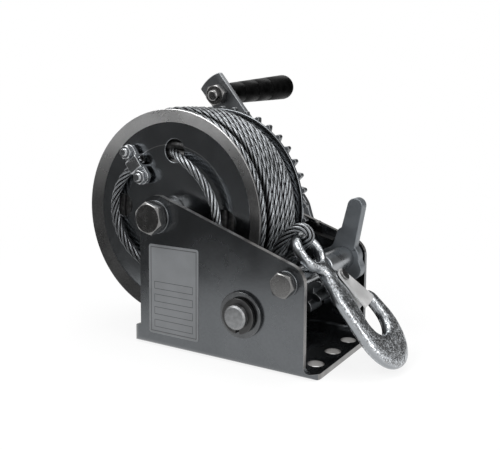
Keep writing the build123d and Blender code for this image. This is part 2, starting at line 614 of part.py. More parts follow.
def crank_grip():
    """A tapered moulded grip with a domed end, bored for its spindle."""
    bore = SPINDLE_R + RUNNING_FIT
    depth = SPINDLE_DEPTH + 2 * FACE_GAP
    profile = Polygon((0, 0), (GRIP_R0, 0), (GRIP_R1, GRIP_LENGTH), (0, GRIP_LENGTH), align=None)
    profile = fillet(nearest(profile.vertices(), GRIP_R1, GRIP_LENGTH), GRIP_DOME)
    profile = fillet(nearest(profile.vertices(), GRIP_R0, 0), GRIP_DOME / 4)
    profile -= Pos(bore / 2, depth / 2) * Rectangle(bore, depth)
    body = revolve(Plane.XZ * profile, Axis.Z)
    return grip_plane() * Pos(0, 0, grip_start()) * body


def ratchet_pawl():
    """A rocking pawl with a nose for each direction and a thumb lever."""
    to_pinion = degrees(atan2(PINION_Z - TIE_Z, PINION_X - TIE_X))
    outline = Pos(TIE_X, TIE_Z) * Circle(PAWL_HUB_R)
    for side in (-1, 1):
        angle = radians(to_pinion + side * PAWL_NOSE_SPREAD)
        nose_x, nose_z = TIE_X + PAWL_NOSE_REACH * cos(angle), TIE_Z + PAWL_NOSE_REACH * sin(angle)
        outline += link(TIE_X, TIE_Z, PAWL_HUB_R - PAWL_NOSE_R, nose_x, nose_z, PAWL_NOSE_R)
    outline += link(TIE_X, TIE_Z, PAWL_HUB_R - PAWL_NOSE_R, HEEL_X, HEEL_Z, HEEL_R)
    outline += link(TIE_X, TIE_Z, PAWL_HUB_R - PAWL_NOSE_R, TOE_X, TOE_Z, TOE_R)
    outline += link(TIE_X, TIE_Z, LEVER_R0, LEVER_X, LEVER_Z, LEVER_R1)
    pawl = slab(outline, PAWL_Y0, PAWL_Y1)
    return pawl - rod(TIE_X, TIE_Z, PAWL_Y0 - CUT, PAWL_Y1 + CUT, PAWL_BUSH_R + RUNNING_FIT)


def pawl_spring():
    """A leaf that lies over the pawl's hub, bent up into a tab on the far side."""
    run, drop = LEAF_X1 - LEAF_X0, LEAF_Z1 - LEAF_Z0
    length, tilt = hypot(run, drop), degrees(atan2(drop, run))
    leaf = Pos((LEAF_X0 + LEAF_X1) / 2, (LEAF_Z0 + LEAF_Z1) / 2) * Rot(0, 0, tilt) * Rectangle(length, LEAF)
    spring = slab(leaf, FAR_INNER - LEAF_WIDTH, FAR_INNER)
    tab = Pos(LEAF_X0, LEAF_Z0 + LEAF_TAB / 2) * Rectangle(LEAF_TAB, LEAF_TAB + LEAF)
    spring += slab(tab, FAR_INNER - LEAF, FAR_INNER)
    return spring - leaf_rivet_rod(FAR_INNER - 2 * LEAF, FAR_INNER + CUT, LEAF_RIVET_R + RUNNING_FIT)


def leaf_rivet_rod(y0, y1, radius):
    return rod(LEAF_X0, LEAF_Z0 + LEAF_TAB / 2, y0, y1, radius)


def pawl_spring_rivet():
    inner = FAR_INNER - LEAF
    rivet = leaf_rivet_rod(inner, FAR_FACE, LEAF_RIVET_R)
    rivet += leaf_rivet_rod(inner - LEAF_RIVET_HEAD, inner, LEAF_RIVET_HEAD_R)
    return rivet + leaf_rivet_rod(FAR_FACE, FAR_FACE + LEAF_RIVET_HEAD, LEAF_RIVET_HEAD_R)


def hook_plane():
    """The hook's own frame: origin at its eye, X towards the bowl, Z out of its plane."""
    slope, turn = radians(HOOK_SLOPE), radians(HOOK_TURN)
    out = Vector(sin(slope), 0, cos(slope))
    down = Vector(cos(slope), 0, -sin(slope))
    rest = TIE_TUBE_R + FACE_GAP + HOOK / 2
    eye = Vector(TIE_X, HOOK_EYE_Y, TIE_Z) + out * rest + down * HOOK_EYE_U
    return Plane(eye, x_dir=down * cos(turn) + Vector(0, 1, 0) * sin(turn), z_dir=out)


def hook_slab(sketch, n0, n1):
    plane = hook_plane()
    return extrude(plane * Pos(0, 0, n0) * sketch, amount=n1 - n0, dir=plane.z_dir)


def hook():
    """A forged hook: eye, spine and bowl in one outline, with rounded edges and a latch lug."""
    outline = Pos(BOWL_A, BOWL_B) * Circle(BOWL_R)
    tip_b = BOWL_B + BOWL_R - TIP_SIDE_R
    outline += link(TIP_A, tip_b, TIP_SIDE_R, BOWL_A, tip_b, TIP_SIDE_R)
    reach, angle = BOWL_R - SPINE_R, radians(SPINE_ANGLE)
    spine_a, spine_b = BOWL_A + reach * cos(angle), BOWL_B + reach * sin(angle)
    outline += link(SHOULDER_A, SHOULDER_B, SHOULDER_R, spine_a, spine_b, SPINE_R)
    outline += link(NECK_A, NECK_B, NECK_R, SHOULDER_A, SHOULDER_B, SHOULDER_R)
    outline -= link(THROAT_A, THROAT_B, THROAT_R, MOUTH_A, MOUTH_B, MOUTH_R)
    outline += Circle(EYE_R)
    outline = fillet(nearest(outline.vertices(), TIP_A - TIP_SIDE_R, tip_b), TIP_R)
    outline = fillet([v for v in outline.vertices() if hypot(v.X, v.Y) < EYE_R + RUNNING_FIT], NECK_FILLET)
    outline -= Circle(EYE_HOLE_R)
    body = hook_slab(outline, -HOOK / 2, HOOK / 2)
    out = hook_plane().z_dir
    body = fillet([edge for edge in body.edges() if abs((edge % 0.5).dot(out)) < 0.5], HOOK_EDGE)
    body += hook_slab(link(LUG_A, LUG_B, LUG_R, LUG_A - LUG_R, NECK_B, LUG_R), -LUG / 2, LUG / 2)
    body -= hook_slab(Pos(LUG_A, LUG_B) * Circle(LATCH_SPRING_R + FACE_GAP), LUG / 2, HOOK)
    return body - hook_slab(Pos(LUG_A, LUG_B) * Circle(LATCH_RIVET_R + RUNNING_FIT), -HOOK, HOOK)


def latch_side():
    return HOOK / 2 + LATCH_GAP


def hook_latch():
    """A folded sheet latch: two cheeks on the hook's sides and a web across the throat."""
    discs = [Pos(LUG_A, LUG_B) * Circle(LATCH_PIVOT_R), Pos(LATCH_TOP_A, LATCH_TOP_B) * Circle(LATCH_END_R),
             Pos(LATCH_LOW_A, LATCH_LOW_B) * Circle(LATCH_END_R)]
    cheek = make_hull([edge for disc in discs for edge in disc.edges()])
    cheek -= Pos(LUG_A, LUG_B) * Circle(LATCH_RIVET_R + RUNNING_FIT)
    side = latch_side()
    latch = hook_slab(cheek, side, side + LATCH) + hook_slab(cheek, -side - LATCH, -side)
    run, rise = LATCH_TOP_A - LUG_A, LATCH_TOP_B - LUG_B
    length = hypot(run, rise)
    tilt = degrees(atan2(rise, run)) - degrees(atan2(LATCH_PIVOT_R - LATCH_END_R, length))
    strip = Pos((length + LATCH_WEB_START) / 2, LATCH_PIVOT_R - LATCH / 2)
    strip = strip * Rectangle(length - LATCH_WEB_START, LATCH)
    return latch + hook_slab(Pos(LUG_A, LUG_B) * Rot(0, 0, tilt) * strip, -side - LATCH, side + LATCH)


def latch_rivet():
    end = latch_side() + LATCH + FACE_GAP
    shank = hook_slab(Pos(LUG_A, LUG_B) * Circle(LATCH_RIVET_R), -end, end)
    for n0 in (end, -end - LATCH_RIVET_HEAD):
        shank += hook_slab(Pos(LUG_A, LUG_B) * Circle(LATCH_RIVET_HEAD_R), n0, n0 + LATCH_RIVET_HEAD)
    return shank


def latch_spring():
    ring = Circle(LATCH_SPRING_R) - Circle(LATCH_RIVET_R + FACE_GAP)
    start = LUG / 2 + FACE_GAP
    return hook_slab(Pos(LUG_A, LUG_B) * ring, start, start + LATCH_SPRING)


nodes = {
    "frame_channel": frame_channel(),
    **through_bolt(AXLE_X, AXLE_Z, AXLE_R, AXLE_FLATS, AXLE_HEAD, AXLE_WASHER, AXLE_NUT, "axle"),
    **through_bolt(TIE_X, TIE_Z, TIE_R, TIE_FLATS, TIE_HEAD, TIE_WASHER, TIE_NUT, "tie"),
    "tie_tube": sleeve(TIE_X, TIE_Z, NEAR_INNER, TUBE_END, TIE_TUBE_R, TIE_R + LOOSE_FIT),
    "pawl_bush": sleeve(TIE_X, TIE_Z, TUBE_END, FAR_INNER, PAWL_BUSH_R, TIE_R + LOOSE_FIT),
    "pawl_spring": pawl_spring(),
    "pawl_spring_rivet": pawl_spring_rivet(),
    **pinion_bushes(),
    "rope_tail": rope_tail(),
    "rope_ferrule": rope_ferrule(),
    "drum_hub": sleeve(AXLE_X, AXLE_Z, HUB_Y0, HUB_Y1, HUB_R, HUB_R - HUB_WALL),
    "drum_bushes": drum_bushes(),
    "drum_core": sleeve(AXLE_X, AXLE_Z, -DRUM_WIDTH / 2, DRUM_WIDTH / 2, CORE_R, CORE_R - CORE_WALL),
    "drum_flange_near": near_flange(),
    "drum_flange_far": far_flange(),
    "drive_gear": drive_gear(),
    "gear_rivets": gear_rivets(),
    "rope_winding": rope_winding(),
    "rope_anchor_end": rope_anchor_end(),
    "anchor_u_bolt": anchor_u_bolt(),
    "anchor_saddle": anchor_saddle(),
    "anchor_nuts": anchor_nuts(),
    "pinion_shaft": pinion_shaft(),
    "pinion_gear": pinion_gear(),
    "retaining_ring": retaining_ring(),
    "crank_arm": crank_arm(),
    **crank_fasteners(),
    "grip_spindle": grip_spindle(),
    "grip_nut": grip_nut(),
    "crank_grip": crank_grip(),
    "ratchet_pawl": ratchet_pawl(),
    "hook": hook(),
    "latch_rivet": latch_rivet(),
    "latch_spring": latch_spring(),
    "hook_latch": hook_latch(),
}

os.makedirs("parts", exist_ok=True)
for name, solid in nodes.items():
    export_step(solid, f"parts/{name}.step")

plane = hook_plane()
grip = grip_plane()
print("pinion axis", round(PINION_X, 3), round(PINION_Z, 3), "centres", CENTRES)
print("hook eye", [round(v, 3) for v in plane.origin], "a", [round(v, 4) for v in plane.x_dir],
      "b", [round(v, 4) for v in plane.y_dir], "n", [round(v, 4) for v in plane.z_dir])
print("grip", [round(v, 3) for v in grip.origin], [round(v, 4) for v in grip.z_dir])
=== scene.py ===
import json
from math import cos, pi, radians, sin, sqrt

import bpy
from mathutils import Matrix, Vector


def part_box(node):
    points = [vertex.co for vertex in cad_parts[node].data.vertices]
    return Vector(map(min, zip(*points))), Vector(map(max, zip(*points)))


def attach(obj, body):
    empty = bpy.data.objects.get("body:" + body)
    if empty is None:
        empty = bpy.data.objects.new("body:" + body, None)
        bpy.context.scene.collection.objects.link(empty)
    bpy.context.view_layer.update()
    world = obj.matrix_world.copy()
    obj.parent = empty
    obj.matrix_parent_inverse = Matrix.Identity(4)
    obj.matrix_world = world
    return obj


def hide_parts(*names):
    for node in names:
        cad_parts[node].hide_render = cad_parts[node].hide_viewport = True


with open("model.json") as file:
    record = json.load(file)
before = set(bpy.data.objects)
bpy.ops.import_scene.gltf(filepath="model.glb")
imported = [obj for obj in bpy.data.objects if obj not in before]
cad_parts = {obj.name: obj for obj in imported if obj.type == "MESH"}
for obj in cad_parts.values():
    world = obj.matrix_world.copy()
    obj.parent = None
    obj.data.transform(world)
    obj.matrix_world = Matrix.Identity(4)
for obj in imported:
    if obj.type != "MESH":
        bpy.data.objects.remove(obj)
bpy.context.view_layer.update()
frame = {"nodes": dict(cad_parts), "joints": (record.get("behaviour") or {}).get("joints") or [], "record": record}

MM = 0.001

# Places that the frame gives
nodes = frame["nodes"]
record = frame["record"]
joints = {joint["name"]: joint for joint in frame["joints"]}
BODY_OF = {node: body for body, members in record["behaviour"]["bodies"].items() for node in members}
SLOT_OF = {part["node"]: part["material_slot"] for part in record["subparts"]}
AXLE = Vector(joints["drum_turn"]["pos_m"])
PINION = Vector(joints["crank_turn"]["pos_m"])
TIE = Vector(joints["pawl_rock"]["pos_m"])
GRIP = Vector(joints["grip_spin"]["pos_m"])
GRIP_AXIS = Vector(joints["grip_spin"]["axis"])
HOOK_FACING = Vector(joints["hook_swing"]["axis"])
ACROSS = Vector((0, 1, 0))
ROPE_R = 3.5 * MM


# Camera
IMAGE_WIDE, IMAGE_HIGH = 500, 450
FOCAL_PX = 698.53
AXIS_PX = (242.25, 173.96)
SENSOR = 36.0
CLIP_START = 10 * MM
CAMERA_AT = Vector((265.74, -459.17, 184.86)) * MM
YAW, PITCH, ROLL = 0.54569, 0.10154, 0.00572

camera = bpy.data.objects.new("camera", bpy.data.cameras.new("camera"))
bpy.context.scene.collection.objects.link(camera)
camera.data.sensor_width = SENSOR
camera.data.lens = FOCAL_PX / IMAGE_WIDE * SENSOR
camera.data.shift_x = (IMAGE_WIDE / 2 - AXIS_PX[0]) / IMAGE_WIDE
camera.data.shift_y = (AXIS_PX[1] - IMAGE_HIGH / 2) / IMAGE_WIDE
camera.data.clip_start = CLIP_START
aim = Matrix.Rotation(YAW, 4, "Z") @ Matrix.Rotation(pi / 2 - PITCH, 4, "X") @ Matrix.Rotation(ROLL, 4, "Z")
camera.matrix_world = Matrix.Translation(CAMERA_AT) @ aim
bpy.context.scene.camera = camera
bpy.context.scene.view_settings.view_transform = "Standard"


# Nodes of materials
def put(tree, socket, value):
    """Gives an input its value, or links it to the socket that the value is."""
    if isinstance(value, bpy.types.NodeSocket):
        tree.links.new(value, socket)
    else:
        socket.default_value = value


def add(tree, kind, settings=(), **inputs):
    """A node with its settings, and its inputs by name or, as in0 and in1, by number."""
    node = tree.nodes.new(kind)
    for key, value in dict(settings).items():
        setattr(node, key, value)
    for key, value in inputs.items():
        numbered = key.startswith("in")
        put(tree, node.inputs[int(key[2:])] if numbered else node.inputs[key.replace("_", " ")], value)
    return node


def calc(tree, operation, *values):
    inputs = {f"in{number}": value for number, value in enumerate(values)}
    return add(tree, "ShaderNodeMath", {"operation": operation}, **inputs).outputs[0]


def times(tree, *values):
    product = values[0]
    for value in values[1:]:
        product = calc(tree, "MULTIPLY", product, value)
    return product


def near(tree, value, target, half):
    """One where a value is within half a line's width of its target."""
    return calc(tree, "COMPARE", value, target, half)


def vector(tree, operation, a, b=(0, 0, 0)):
    node = add(tree, "ShaderNodeVectorMath", {"operation": operation}, in0=a, in1=b)
    return node.outputs["Value" if operation in ("DOT_PRODUCT", "LENGTH") else "Vector"]


def apart(tree, value):
    return add(tree, "ShaderNodeSeparateXYZ", Vector=value).outputs


def object_place(tree):
    return tree.nodes.new("ShaderNodeTexCoord").outputs["Object"]


def ramp(tree, value, low, high, to_low=0.0, to_high=1.0):
    return add(tree, "ShaderNodeMapRange", {"interpolation_type": "SMOOTHSTEP"}, Value=value,
               From_Min=low, From_Max=high, To_Min=to_low, To_Max=to_high).outputs[0]


def blend(tree, factor, a, b):
    return add(tree, "ShaderNodeMix", {"data_type": "RGBA"}, in0=factor, in6=a, in7=b).outputs[2]


def noise(tree, place, scale, detail=3.0, rough=0.55):
    node = add(tree, "ShaderNodeTexNoise", Vector=place, Scale=scale, Detail=detail, Roughness=rough)
    return node.outputs["Fac"]


def new_group(name, inputs, outputs):
    group = bpy.data.node_groups.new(name, "ShaderNodeTree")
    for label, value in inputs:
        socket = group.interface.new_socket(name=label, in_out="INPUT", socket_type="NodeSocketFloat")
        socket.default_value = value
    for label, kind in outputs:
        group.interface.new_socket(name=label, in_out="OUTPUT", socket_type="NodeSocket" + kind)
    return group, group.nodes.new("NodeGroupInput").outputs, group.nodes.new("NodeGroupOutput").inputs


def use(tree, group, **inputs):
    return add(tree, "ShaderNodeGroup", {"node_tree": group}, **inputs).outputs


# Marks that finishes share
GRAIN_FINER, GRAIN_HIGH = 22.0, 0.4 * MM
# Width of the edges that are lightened as wear and as a painted highlight
EDGE_MARK_WIDTH = 0.8 * MM
SPECK_WIDE, SPECK_WIDE_SHARE, SPECK_WARM = 0.2, 0.35, 0.55
# Painted shade on the rope low on the drum, and where the rope darkens over the drum's top
LOW_SHADE_FROM, LOW_SHADE_FULL = 125 * MM, 40 * MM
TOP_DARK_FROM, TOP_DARK_FULL, TOP_DARK_SHARE = 140 * MM, 176 * MM, 0.45
PATCH_SCALE, PATCH_SHARE = 90.0, 0.5


def make_clouding():
    """Uneven plating: wide soft clouds, a fine grain, and a slight unevenness of the face."""
    group, take, give = new_group("clouding", [("Scale", 40.0), ("Height", 0.1)],
                                  [("Cloud", "Float"), ("Grain", "Float"), ("Normal", "Vector")])
    place = object_place(group)
    cloud = noise(group, place, take["Scale"], 4.0)
    grain = noise(group, place, times(group, take["Scale"], GRAIN_FINER), 2.0)
    group.links.new(ramp(group, cloud, 0.3, 0.7), give["Cloud"])
    group.links.new(grain, give["Grain"])
    bump = add(group, "ShaderNodeBump", Strength=take["Height"], Distance=GRAIN_HIGH, Height=grain)
    group.links.new(bump.outputs[0], give["Normal"])
    return group


def make_edge_wear_and_highlight():
    """Edges lightened as wear and as a painted highlight: where the rounded normal turns away from the face's own
    one.
    """
    group, take, give = new_group("edge_wear_and_highlight", [("Width", EDGE_MARK_WIDTH)], [("Edge", "Float")])
    rounded = add(group, "ShaderNodeBevel", {"samples": 4}, Radius=take["Width"]).outputs[0]
    own = group.nodes.new("ShaderNodeNewGeometry").outputs["Normal"]
    group.links.new(ramp(group, vector(group, "DOT_PRODUCT", rounded, own), 0.98, 0.82), give["Edge"])
    return group


def make_speckle():
    """Small dark and warm spots of a dipped and tumbled finish."""
    group, take, give = new_group("speckle", [("Scale", 420.0), ("Share", 0.5)],
                                  [("Dark", "Float"), ("Warm", "Float")])
    place = object_place(group)
    wide = noise(group, place, times(group, take["Scale"], SPECK_WIDE), 2.0)
    fine = noise(group, place, take["Scale"], 4.0, 0.65)
    level = calc(group, "ADD", fine, times(group, wide, SPECK_WIDE_SHARE))
    level = calc(group, "SUBTRACT", level, take["Share"])
    group.links.new(ramp(group, level, 0.2, 0.32), give["Dark"])
    warm = noise(group, place, times(group, take["Scale"], SPECK_WARM), 2.0)
    group.links.new(ramp(group, warm, 0.62, 0.72), give["Warm"])
    return group


def make_wires():
    """The wires of a strand, by the map of its length in millimetres and share of the way round; painted shade on
    the inner side of each strand, deep between strands; soiled patches; painted shade low on the drum; darkening
    over its top; and painted shade on the flanks between turns."""
    group, take, give = new_group("wires", [("Count", 7.0), ("Pitch", 9.0)],
                                  [(label, "Float") for label in ("Wire", "Strand shade", "Dirt", "Turn shade")])
    lay = apart(group, add(group, "ShaderNodeUVMap", {"uv_map": "lay"}).outputs[0])
    turns = calc(group, "ADD", times(group, lay["Y"], take["Count"]),
                 calc(group, "DIVIDE", lay["X"], take["Pitch"]))
    group.links.new(calc(group, "ABSOLUTE", calc(group, "SINE", times(group, turns, pi))), give["Wire"])
    # Strand shade: painted shade on the inner side of each strand, between the strands
    outward = calc(group, "COSINE", times(group, lay["Y"], 2 * pi))
    group.links.new(ramp(group, outward, 0.92, 0.25), give["Strand shade"])
    place = object_place(group)
    height = apart(group, place)["Z"]
    # Painted shade low on the drum, soiled patches, and darkening over the drum's top
    low_shade = ramp(group, height, LOW_SHADE_FROM, LOW_SHADE_FULL)
    patches = times(group, ramp(group, noise(group, place, PATCH_SCALE, 3.0), 0.4, 0.7), PATCH_SHARE)
    top_dark = times(group, ramp(group, height, TOP_DARK_FROM, TOP_DARK_FULL), TOP_DARK_SHARE)
    group.links.new(calc(group, "MAXIMUM", calc(group, "MAXIMUM", patches, low_shade), top_dark), give["Dirt"])
    # Turn shade: painted shade where the strands turn away from the axle, on the flanks between turns
    outer = apart(group, add(group, "ShaderNodeUVMap", {"uv_map": "outer"}).outputs[0])
    group.links.new(ramp(group, outer["X"], 0.8, 0.2), give["Turn shade"])
    return group


CLOUDING, EDGE_WEAR_AND_HIGHLIGHT, SPECKLE, WIRES = make_clouding(), make_edge_wear_and_highlight(), make_speckle(), make_wires()


# Finishes
COOL = -0.045
SCRIBED_R, SCRIBED_HALF, SCRIBED_LEVEL, SCRIBED_SHARE = 52.9 * MM, 0.22 * MM, 225, 0.7
# A painted gradient for the drum's rim: painted shade at the foot, painted light above
PAINTED_LIGHT_WAY, PAINTED_SHADE_BELOW, PAINTED_LIGHT_ABOVE = (-0.12, 0.0, 1.0), 118 * MM, 182 * MM
GRAIN_SHARE, GRAIN_DARKER = 0.35, 0.7
GLOSS_LOW, GLOSS_HIGH, EDGE_MARK_WARMTH = 0.85, 1.15, 0.03
FACE_FROM, FACE_FULL, FLANK_ROUGHER = 0.1, 0.6, 1.5
DENT_SCALE, DENT_FINE, DENT_FINE_SHARE, DENT_HIGH = 210.0, 760.0, 0.35, 1.4 * MM
FLANK_DENTS, FACE_DENTS = 0.12, 0.5
BRIGHT_SCALE, BRIGHT_SHARE = 300.0, 0.5
WARM_SHARE, SPOT_SHARE, SPOT_LEVEL = 0.4, 0.7, 78
# Rope: wire bump height and the levels of painted shade between wires, strands and turns
WIRE_HIGH, WIRE_SHADE_LEVEL, STRAND_SHADE_LEVEL = 0.3 * MM, 34, 16
TURN_SHADE_LEVEL, TURN_SHADE_SHARE, SOILING_AND_SHADE_DARKER = 14, 0.85, 0.42
TURN_HIGH, COIL_GAP_SHADE_LEVEL = 2.0 * MM, 18
PLASTIC_SHEEN = 0.03


def grey(level, warmth=0.0):
    """A colour from its level in the picture, 0 to 255."""
    share = level / 255
    value = share / 12.92 if share < 0.04045 else ((share + 0.055) / 1.055) ** 2.4
    return (value * (1 + warmth), value, value * (1 - warmth), 1)


def new_material(name):
    material = bpy.data.materials.new(name)
    material.use_nodes = True
    return material, material.node_tree, material.node_tree.nodes["Principled BSDF"].inputs


def axle_distance(tree):
    """How far a place lies from the drum's axle."""
    off = vector(tree, "SUBTRACT", object_place(tree), AXLE)
    return vector(tree, "LENGTH", vector(tree, "MULTIPLY", off, (1, 0, 1)))


def metal(name, level, rough, warmth=0.0, metallic=1.0, cloud=12, scale=40.0, height=0.08, edge=0.0,
          edge_level=210, shaded_foot_level=None, scribed=None):
    """Plated or bare steel: clouded colour and gloss, a fine grain, and where asked edges lightened as wear and as
    a painted highlight, a painted gradient of shade at the foot and light above, or a circle scribed round the
    axle."""
    material, tree, shader = new_material(name)
    marks = use(tree, CLOUDING, Scale=scale, Height=height)
    colour = blend(tree, marks["Cloud"], grey(level - cloud, warmth), grey(level + cloud, warmth))
    # Painted shade at the foot, fading to painted light above
    if shaded_foot_level:
        rise = vector(tree, "DOT_PRODUCT", object_place(tree), PAINTED_LIGHT_WAY)
        colour = blend(tree, ramp(tree, rise, PAINTED_SHADE_BELOW, PAINTED_LIGHT_ABOVE), grey(shaded_foot_level, warmth), colour)
    colour = blend(tree, times(tree, marks["Grain"], GRAIN_SHARE), colour, grey(level * GRAIN_DARKER, warmth))
    if scribed:
        line = near(tree, axle_distance(tree), scribed, SCRIBED_HALF)
        colour = blend(tree, times(tree, line, SCRIBED_SHARE), colour, grey(SCRIBED_LEVEL))
    # Edges lightened as wear and as a painted highlight
    if edge:
        wear_and_highlight = use(tree, EDGE_WEAR_AND_HIGHLIGHT)["Edge"]
        colour = blend(tree, times(tree, wear_and_highlight, edge), colour, grey(edge_level, EDGE_MARK_WARMTH))
    tree.links.new(colour, shader["Base Color"])
    gloss = ramp(tree, marks["Cloud"], 0.0, 1.0, rough * GLOSS_LOW, rough * GLOSS_HIGH)
    tree.links.new(gloss, shader["Roughness"])
    tree.links.new(marks["Normal"], shader["Normal"])
    shader["Metallic"].default_value = metallic
    return material


def spotted(name, level, rough, facing):
    """Bright zinc on a forging: dented and finely spotted on the faces, smooth on the flanks."""
    material, tree, shader = new_material(name)
    marks = use(tree, CLOUDING, Scale=60.0, Height=0.05)
    place = tree.nodes.new("ShaderNodeTexCoord").outputs
    towards = calc(tree, "ABSOLUTE", vector(tree, "DOT_PRODUCT", place["Normal"], facing))
    face = ramp(tree, towards, FACE_FROM, FACE_FULL)
    spots = use(tree, SPECKLE, Scale=900.0, Share=0.42)
    colour = blend(tree, marks["Cloud"], grey(level - 14, COOL), grey(level + 8, COOL))
    colour = blend(tree, face, grey(level - 34, COOL), colour)
    bright = ramp(tree, noise(tree, place["Object"], BRIGHT_SCALE, 3.0), 0.42, 0.6)
    colour = blend(tree, times(tree, bright, face, BRIGHT_SHARE), colour, grey(level + 40, COOL))
    colour = blend(tree, times(tree, spots["Warm"], face, WARM_SHARE), colour, grey(level - 30, 0.16))
    colour = blend(tree, times(tree, spots["Dark"], face, SPOT_SHARE), colour, grey(SPOT_LEVEL, 0.05))
    tree.links.new(colour, shader["Base Color"])
    tree.links.new(ramp(tree, face, 0.0, 1.0, rough * FLANK_ROUGHER, rough), shader["Roughness"])
    dents = calc(tree, "ADD", noise(tree, place["Object"], DENT_SCALE, 2.0),
                 times(tree, noise(tree, place["Object"], DENT_FINE, 2.0), DENT_FINE_SHARE))
    strength = ramp(tree, face, 0.0, 1.0, FLANK_DENTS, FACE_DENTS)
    bump = add(tree, "ShaderNodeBump", Strength=strength, Distance=DENT_HIGH, Height=dents)
    tree.links.new(bump.outputs[0], shader["Normal"])
    shader["Metallic"].default_value = 1.0
    return material


def plastic(name, level, rough):
    """Moulded plastic, slightly uneven and with little sheen."""
    material, tree, shader = new_material(name)
    marks = use(tree, CLOUDING, Scale=120.0, Height=0.12)
    tree.links.new(blend(tree, marks["Cloud"], grey(level - 4), grey(level + 5)), shader["Base Color"])
    gloss = ramp(tree, marks["Grain"], 0.2, 0.8, rough * GLOSS_LOW, rough * GLOSS_HIGH)
    tree.links.new(gloss, shader["Roughness"])
    tree.links.new(marks["Normal"], shader["Normal"])
    shader["Specular IOR Level"].default_value = PLASTIC_SHEEN
    return material


def strand_wire(name, level, soiling_and_shade):
    """Wires of a strand, darker in soiled patches and over the drum's top, with painted shade low on the drum and
    in the gaps between wires, strands and turns.
    """
    material, tree, shader = new_material(name)
    wires = use(tree, WIRES)
    # Soiled patches with painted shade low on the drum and darkening over its top, then painted shade between
    # wires, strands and turns
    colour = blend(tree, times(tree, wires["Dirt"], soiling_and_shade), grey(level, COOL), grey(level * SOILING_AND_SHADE_DARKER, COOL))
    colour = blend(tree, ramp(tree, wires["Wire"], 0.6, 0.15), colour, grey(WIRE_SHADE_LEVEL))
    colour = blend(tree, wires["Strand shade"], colour, grey(STRAND_SHADE_LEVEL))
    colour = blend(tree, times(tree, wires["Turn shade"], TURN_SHADE_SHARE), colour, grey(TURN_SHADE_LEVEL))
    tree.links.new(colour, shader["Base Color"])
    bump = add(tree, "ShaderNodeBump", Strength=0.6, Distance=WIRE_HIGH, Height=wires["Wire"])
    tree.links.new(bump.outputs[0], shader["Normal"])
    shader["Metallic"].default_value = 0.95
    shader["Roughness"].default_value = 0.27
    return material


def coiled(name, level):
    """The lower turns of rope, seen end on in the flange's holes: rings round the axle, painted dark as a shaded
    copy of the rope, with painted shade in the gaps between turns.
    """
    material, tree, shader = new_material(name)
    marks = use(tree, CLOUDING, Scale=300.0, Height=0.3)
    rings = calc(tree, "ABSOLUTE", calc(tree, "SINE", times(tree, axle_distance(tree), pi / (2 * ROPE_R))))
    colour = blend(tree, marks["Cloud"], grey(level - 22), grey(level + 22))
    # Painted shade in the gaps between the lower turns
    colour = blend(tree, ramp(tree, rings, 0.75, 0.15), colour, grey(COIL_GAP_SHADE_LEVEL))
    tree.links.new(colour, shader["Base Color"])
    bump = add(tree, "ShaderNodeBump", Strength=0.8, Distance=TURN_HIGH, Height=rings, Normal=marks["Normal"])
    tree.links.new(bump.outputs[0], shader["Normal"])
    shader["Metallic"].default_value = 0.8
    shader["Roughness"].default_value = 0.45
    return material


# edge and edge_level lighten the edges as wear and as a painted highlight
ZINC_PLATE = metal("zinc_plate", 112, 0.25, warmth=-0.05, cloud=4, scale=26.0, height=0.05, edge=0.4,
                   edge_level=160)
ZINC_BOLT = metal("zinc_bolt", 128, 0.25, warmth=0.01, cloud=6, scale=160.0, height=0.03, edge=0.4,
                  edge_level=215)
DRUM_SHEET = metal("drum_sheet", 138, 0.21, warmth=-0.05, cloud=6, scale=30.0, height=0.03, scribed=SCRIBED_R)
# The rim's colour is painted light: near white above, with painted shade at its foot
DRUM_RIM_PAINTED_LIGHT = metal("drum_rim", 248, 0.3, metallic=0.9, cloud=4, height=0.1, shaded_foot_level=82)
HUB_STEEL = metal("hub_steel", 200, 0.16, cloud=8, scale=90.0)
GEAR_STEEL = metal("gear_steel", 128, 0.34, warmth=-0.04, cloud=10, scale=120.0, edge=0.35, edge_level=200)
BUSH_STEEL = metal("bush_steel", 94, 0.17, warmth=-0.03, cloud=8, scale=120.0, edge=0.3, edge_level=230)
SHAFT_STEEL = metal("shaft_steel", 148, 0.42, warmth=-0.02, cloud=14, scale=240.0, height=0.2, edge=0.5,
                    edge_level=240)
RING_STEEL = metal("ring_steel", 76, 0.34, cloud=8, scale=150.0, edge=0.3, edge_level=150)
BUSH_NYLON = plastic("bush_nylon", 200, 0.5)
TUBE_STEEL = metal("tube_steel", 165, 0.28, warmth=-0.04, cloud=8, scale=70.0)
CAST_CLIP = metal("cast_clip", 182, 0.24, warmth=-0.03, cloud=8, scale=220.0, height=0.12, edge=0.3,
                  edge_level=240)
CRANK_STEEL = metal("crank_steel", 149, 0.34, warmth=-0.04, cloud=8, edge=0.6, edge_level=205)
PAWL_IRON = metal("pawl_iron", 120, 0.4, warmth=-0.08, cloud=4, scale=90.0, height=0.12, metallic=0.6,
                  edge=0.35, edge_level=120)
SPRING_STEEL = metal("spring_steel", 64, 0.34, cloud=6, scale=90.0, edge=0.3, edge_level=110)
LATCH_STEEL = metal("latch_steel", 218, 0.42, metallic=0.55, cloud=8, scale=90.0, edge=0.4, edge_level=240)
GRIP_PLASTIC = plastic("grip_plastic", 5, 0.36)
HOOK_ZINC = spotted("hook_zinc", 196, 0.2, HOOK_FACING)
ROPE_WIRE = strand_wire("rope_wire", 176, 0.85)
CUT_EDGE = metal("cut_edge", 150, 0.34, warmth=0.02, cloud=14, scale=120.0)
# The lower layers: a darker copy of the rope's colour, as painted shade
ROPE_DEEP_SHADED = coiled("rope_deep_shaded", 66)

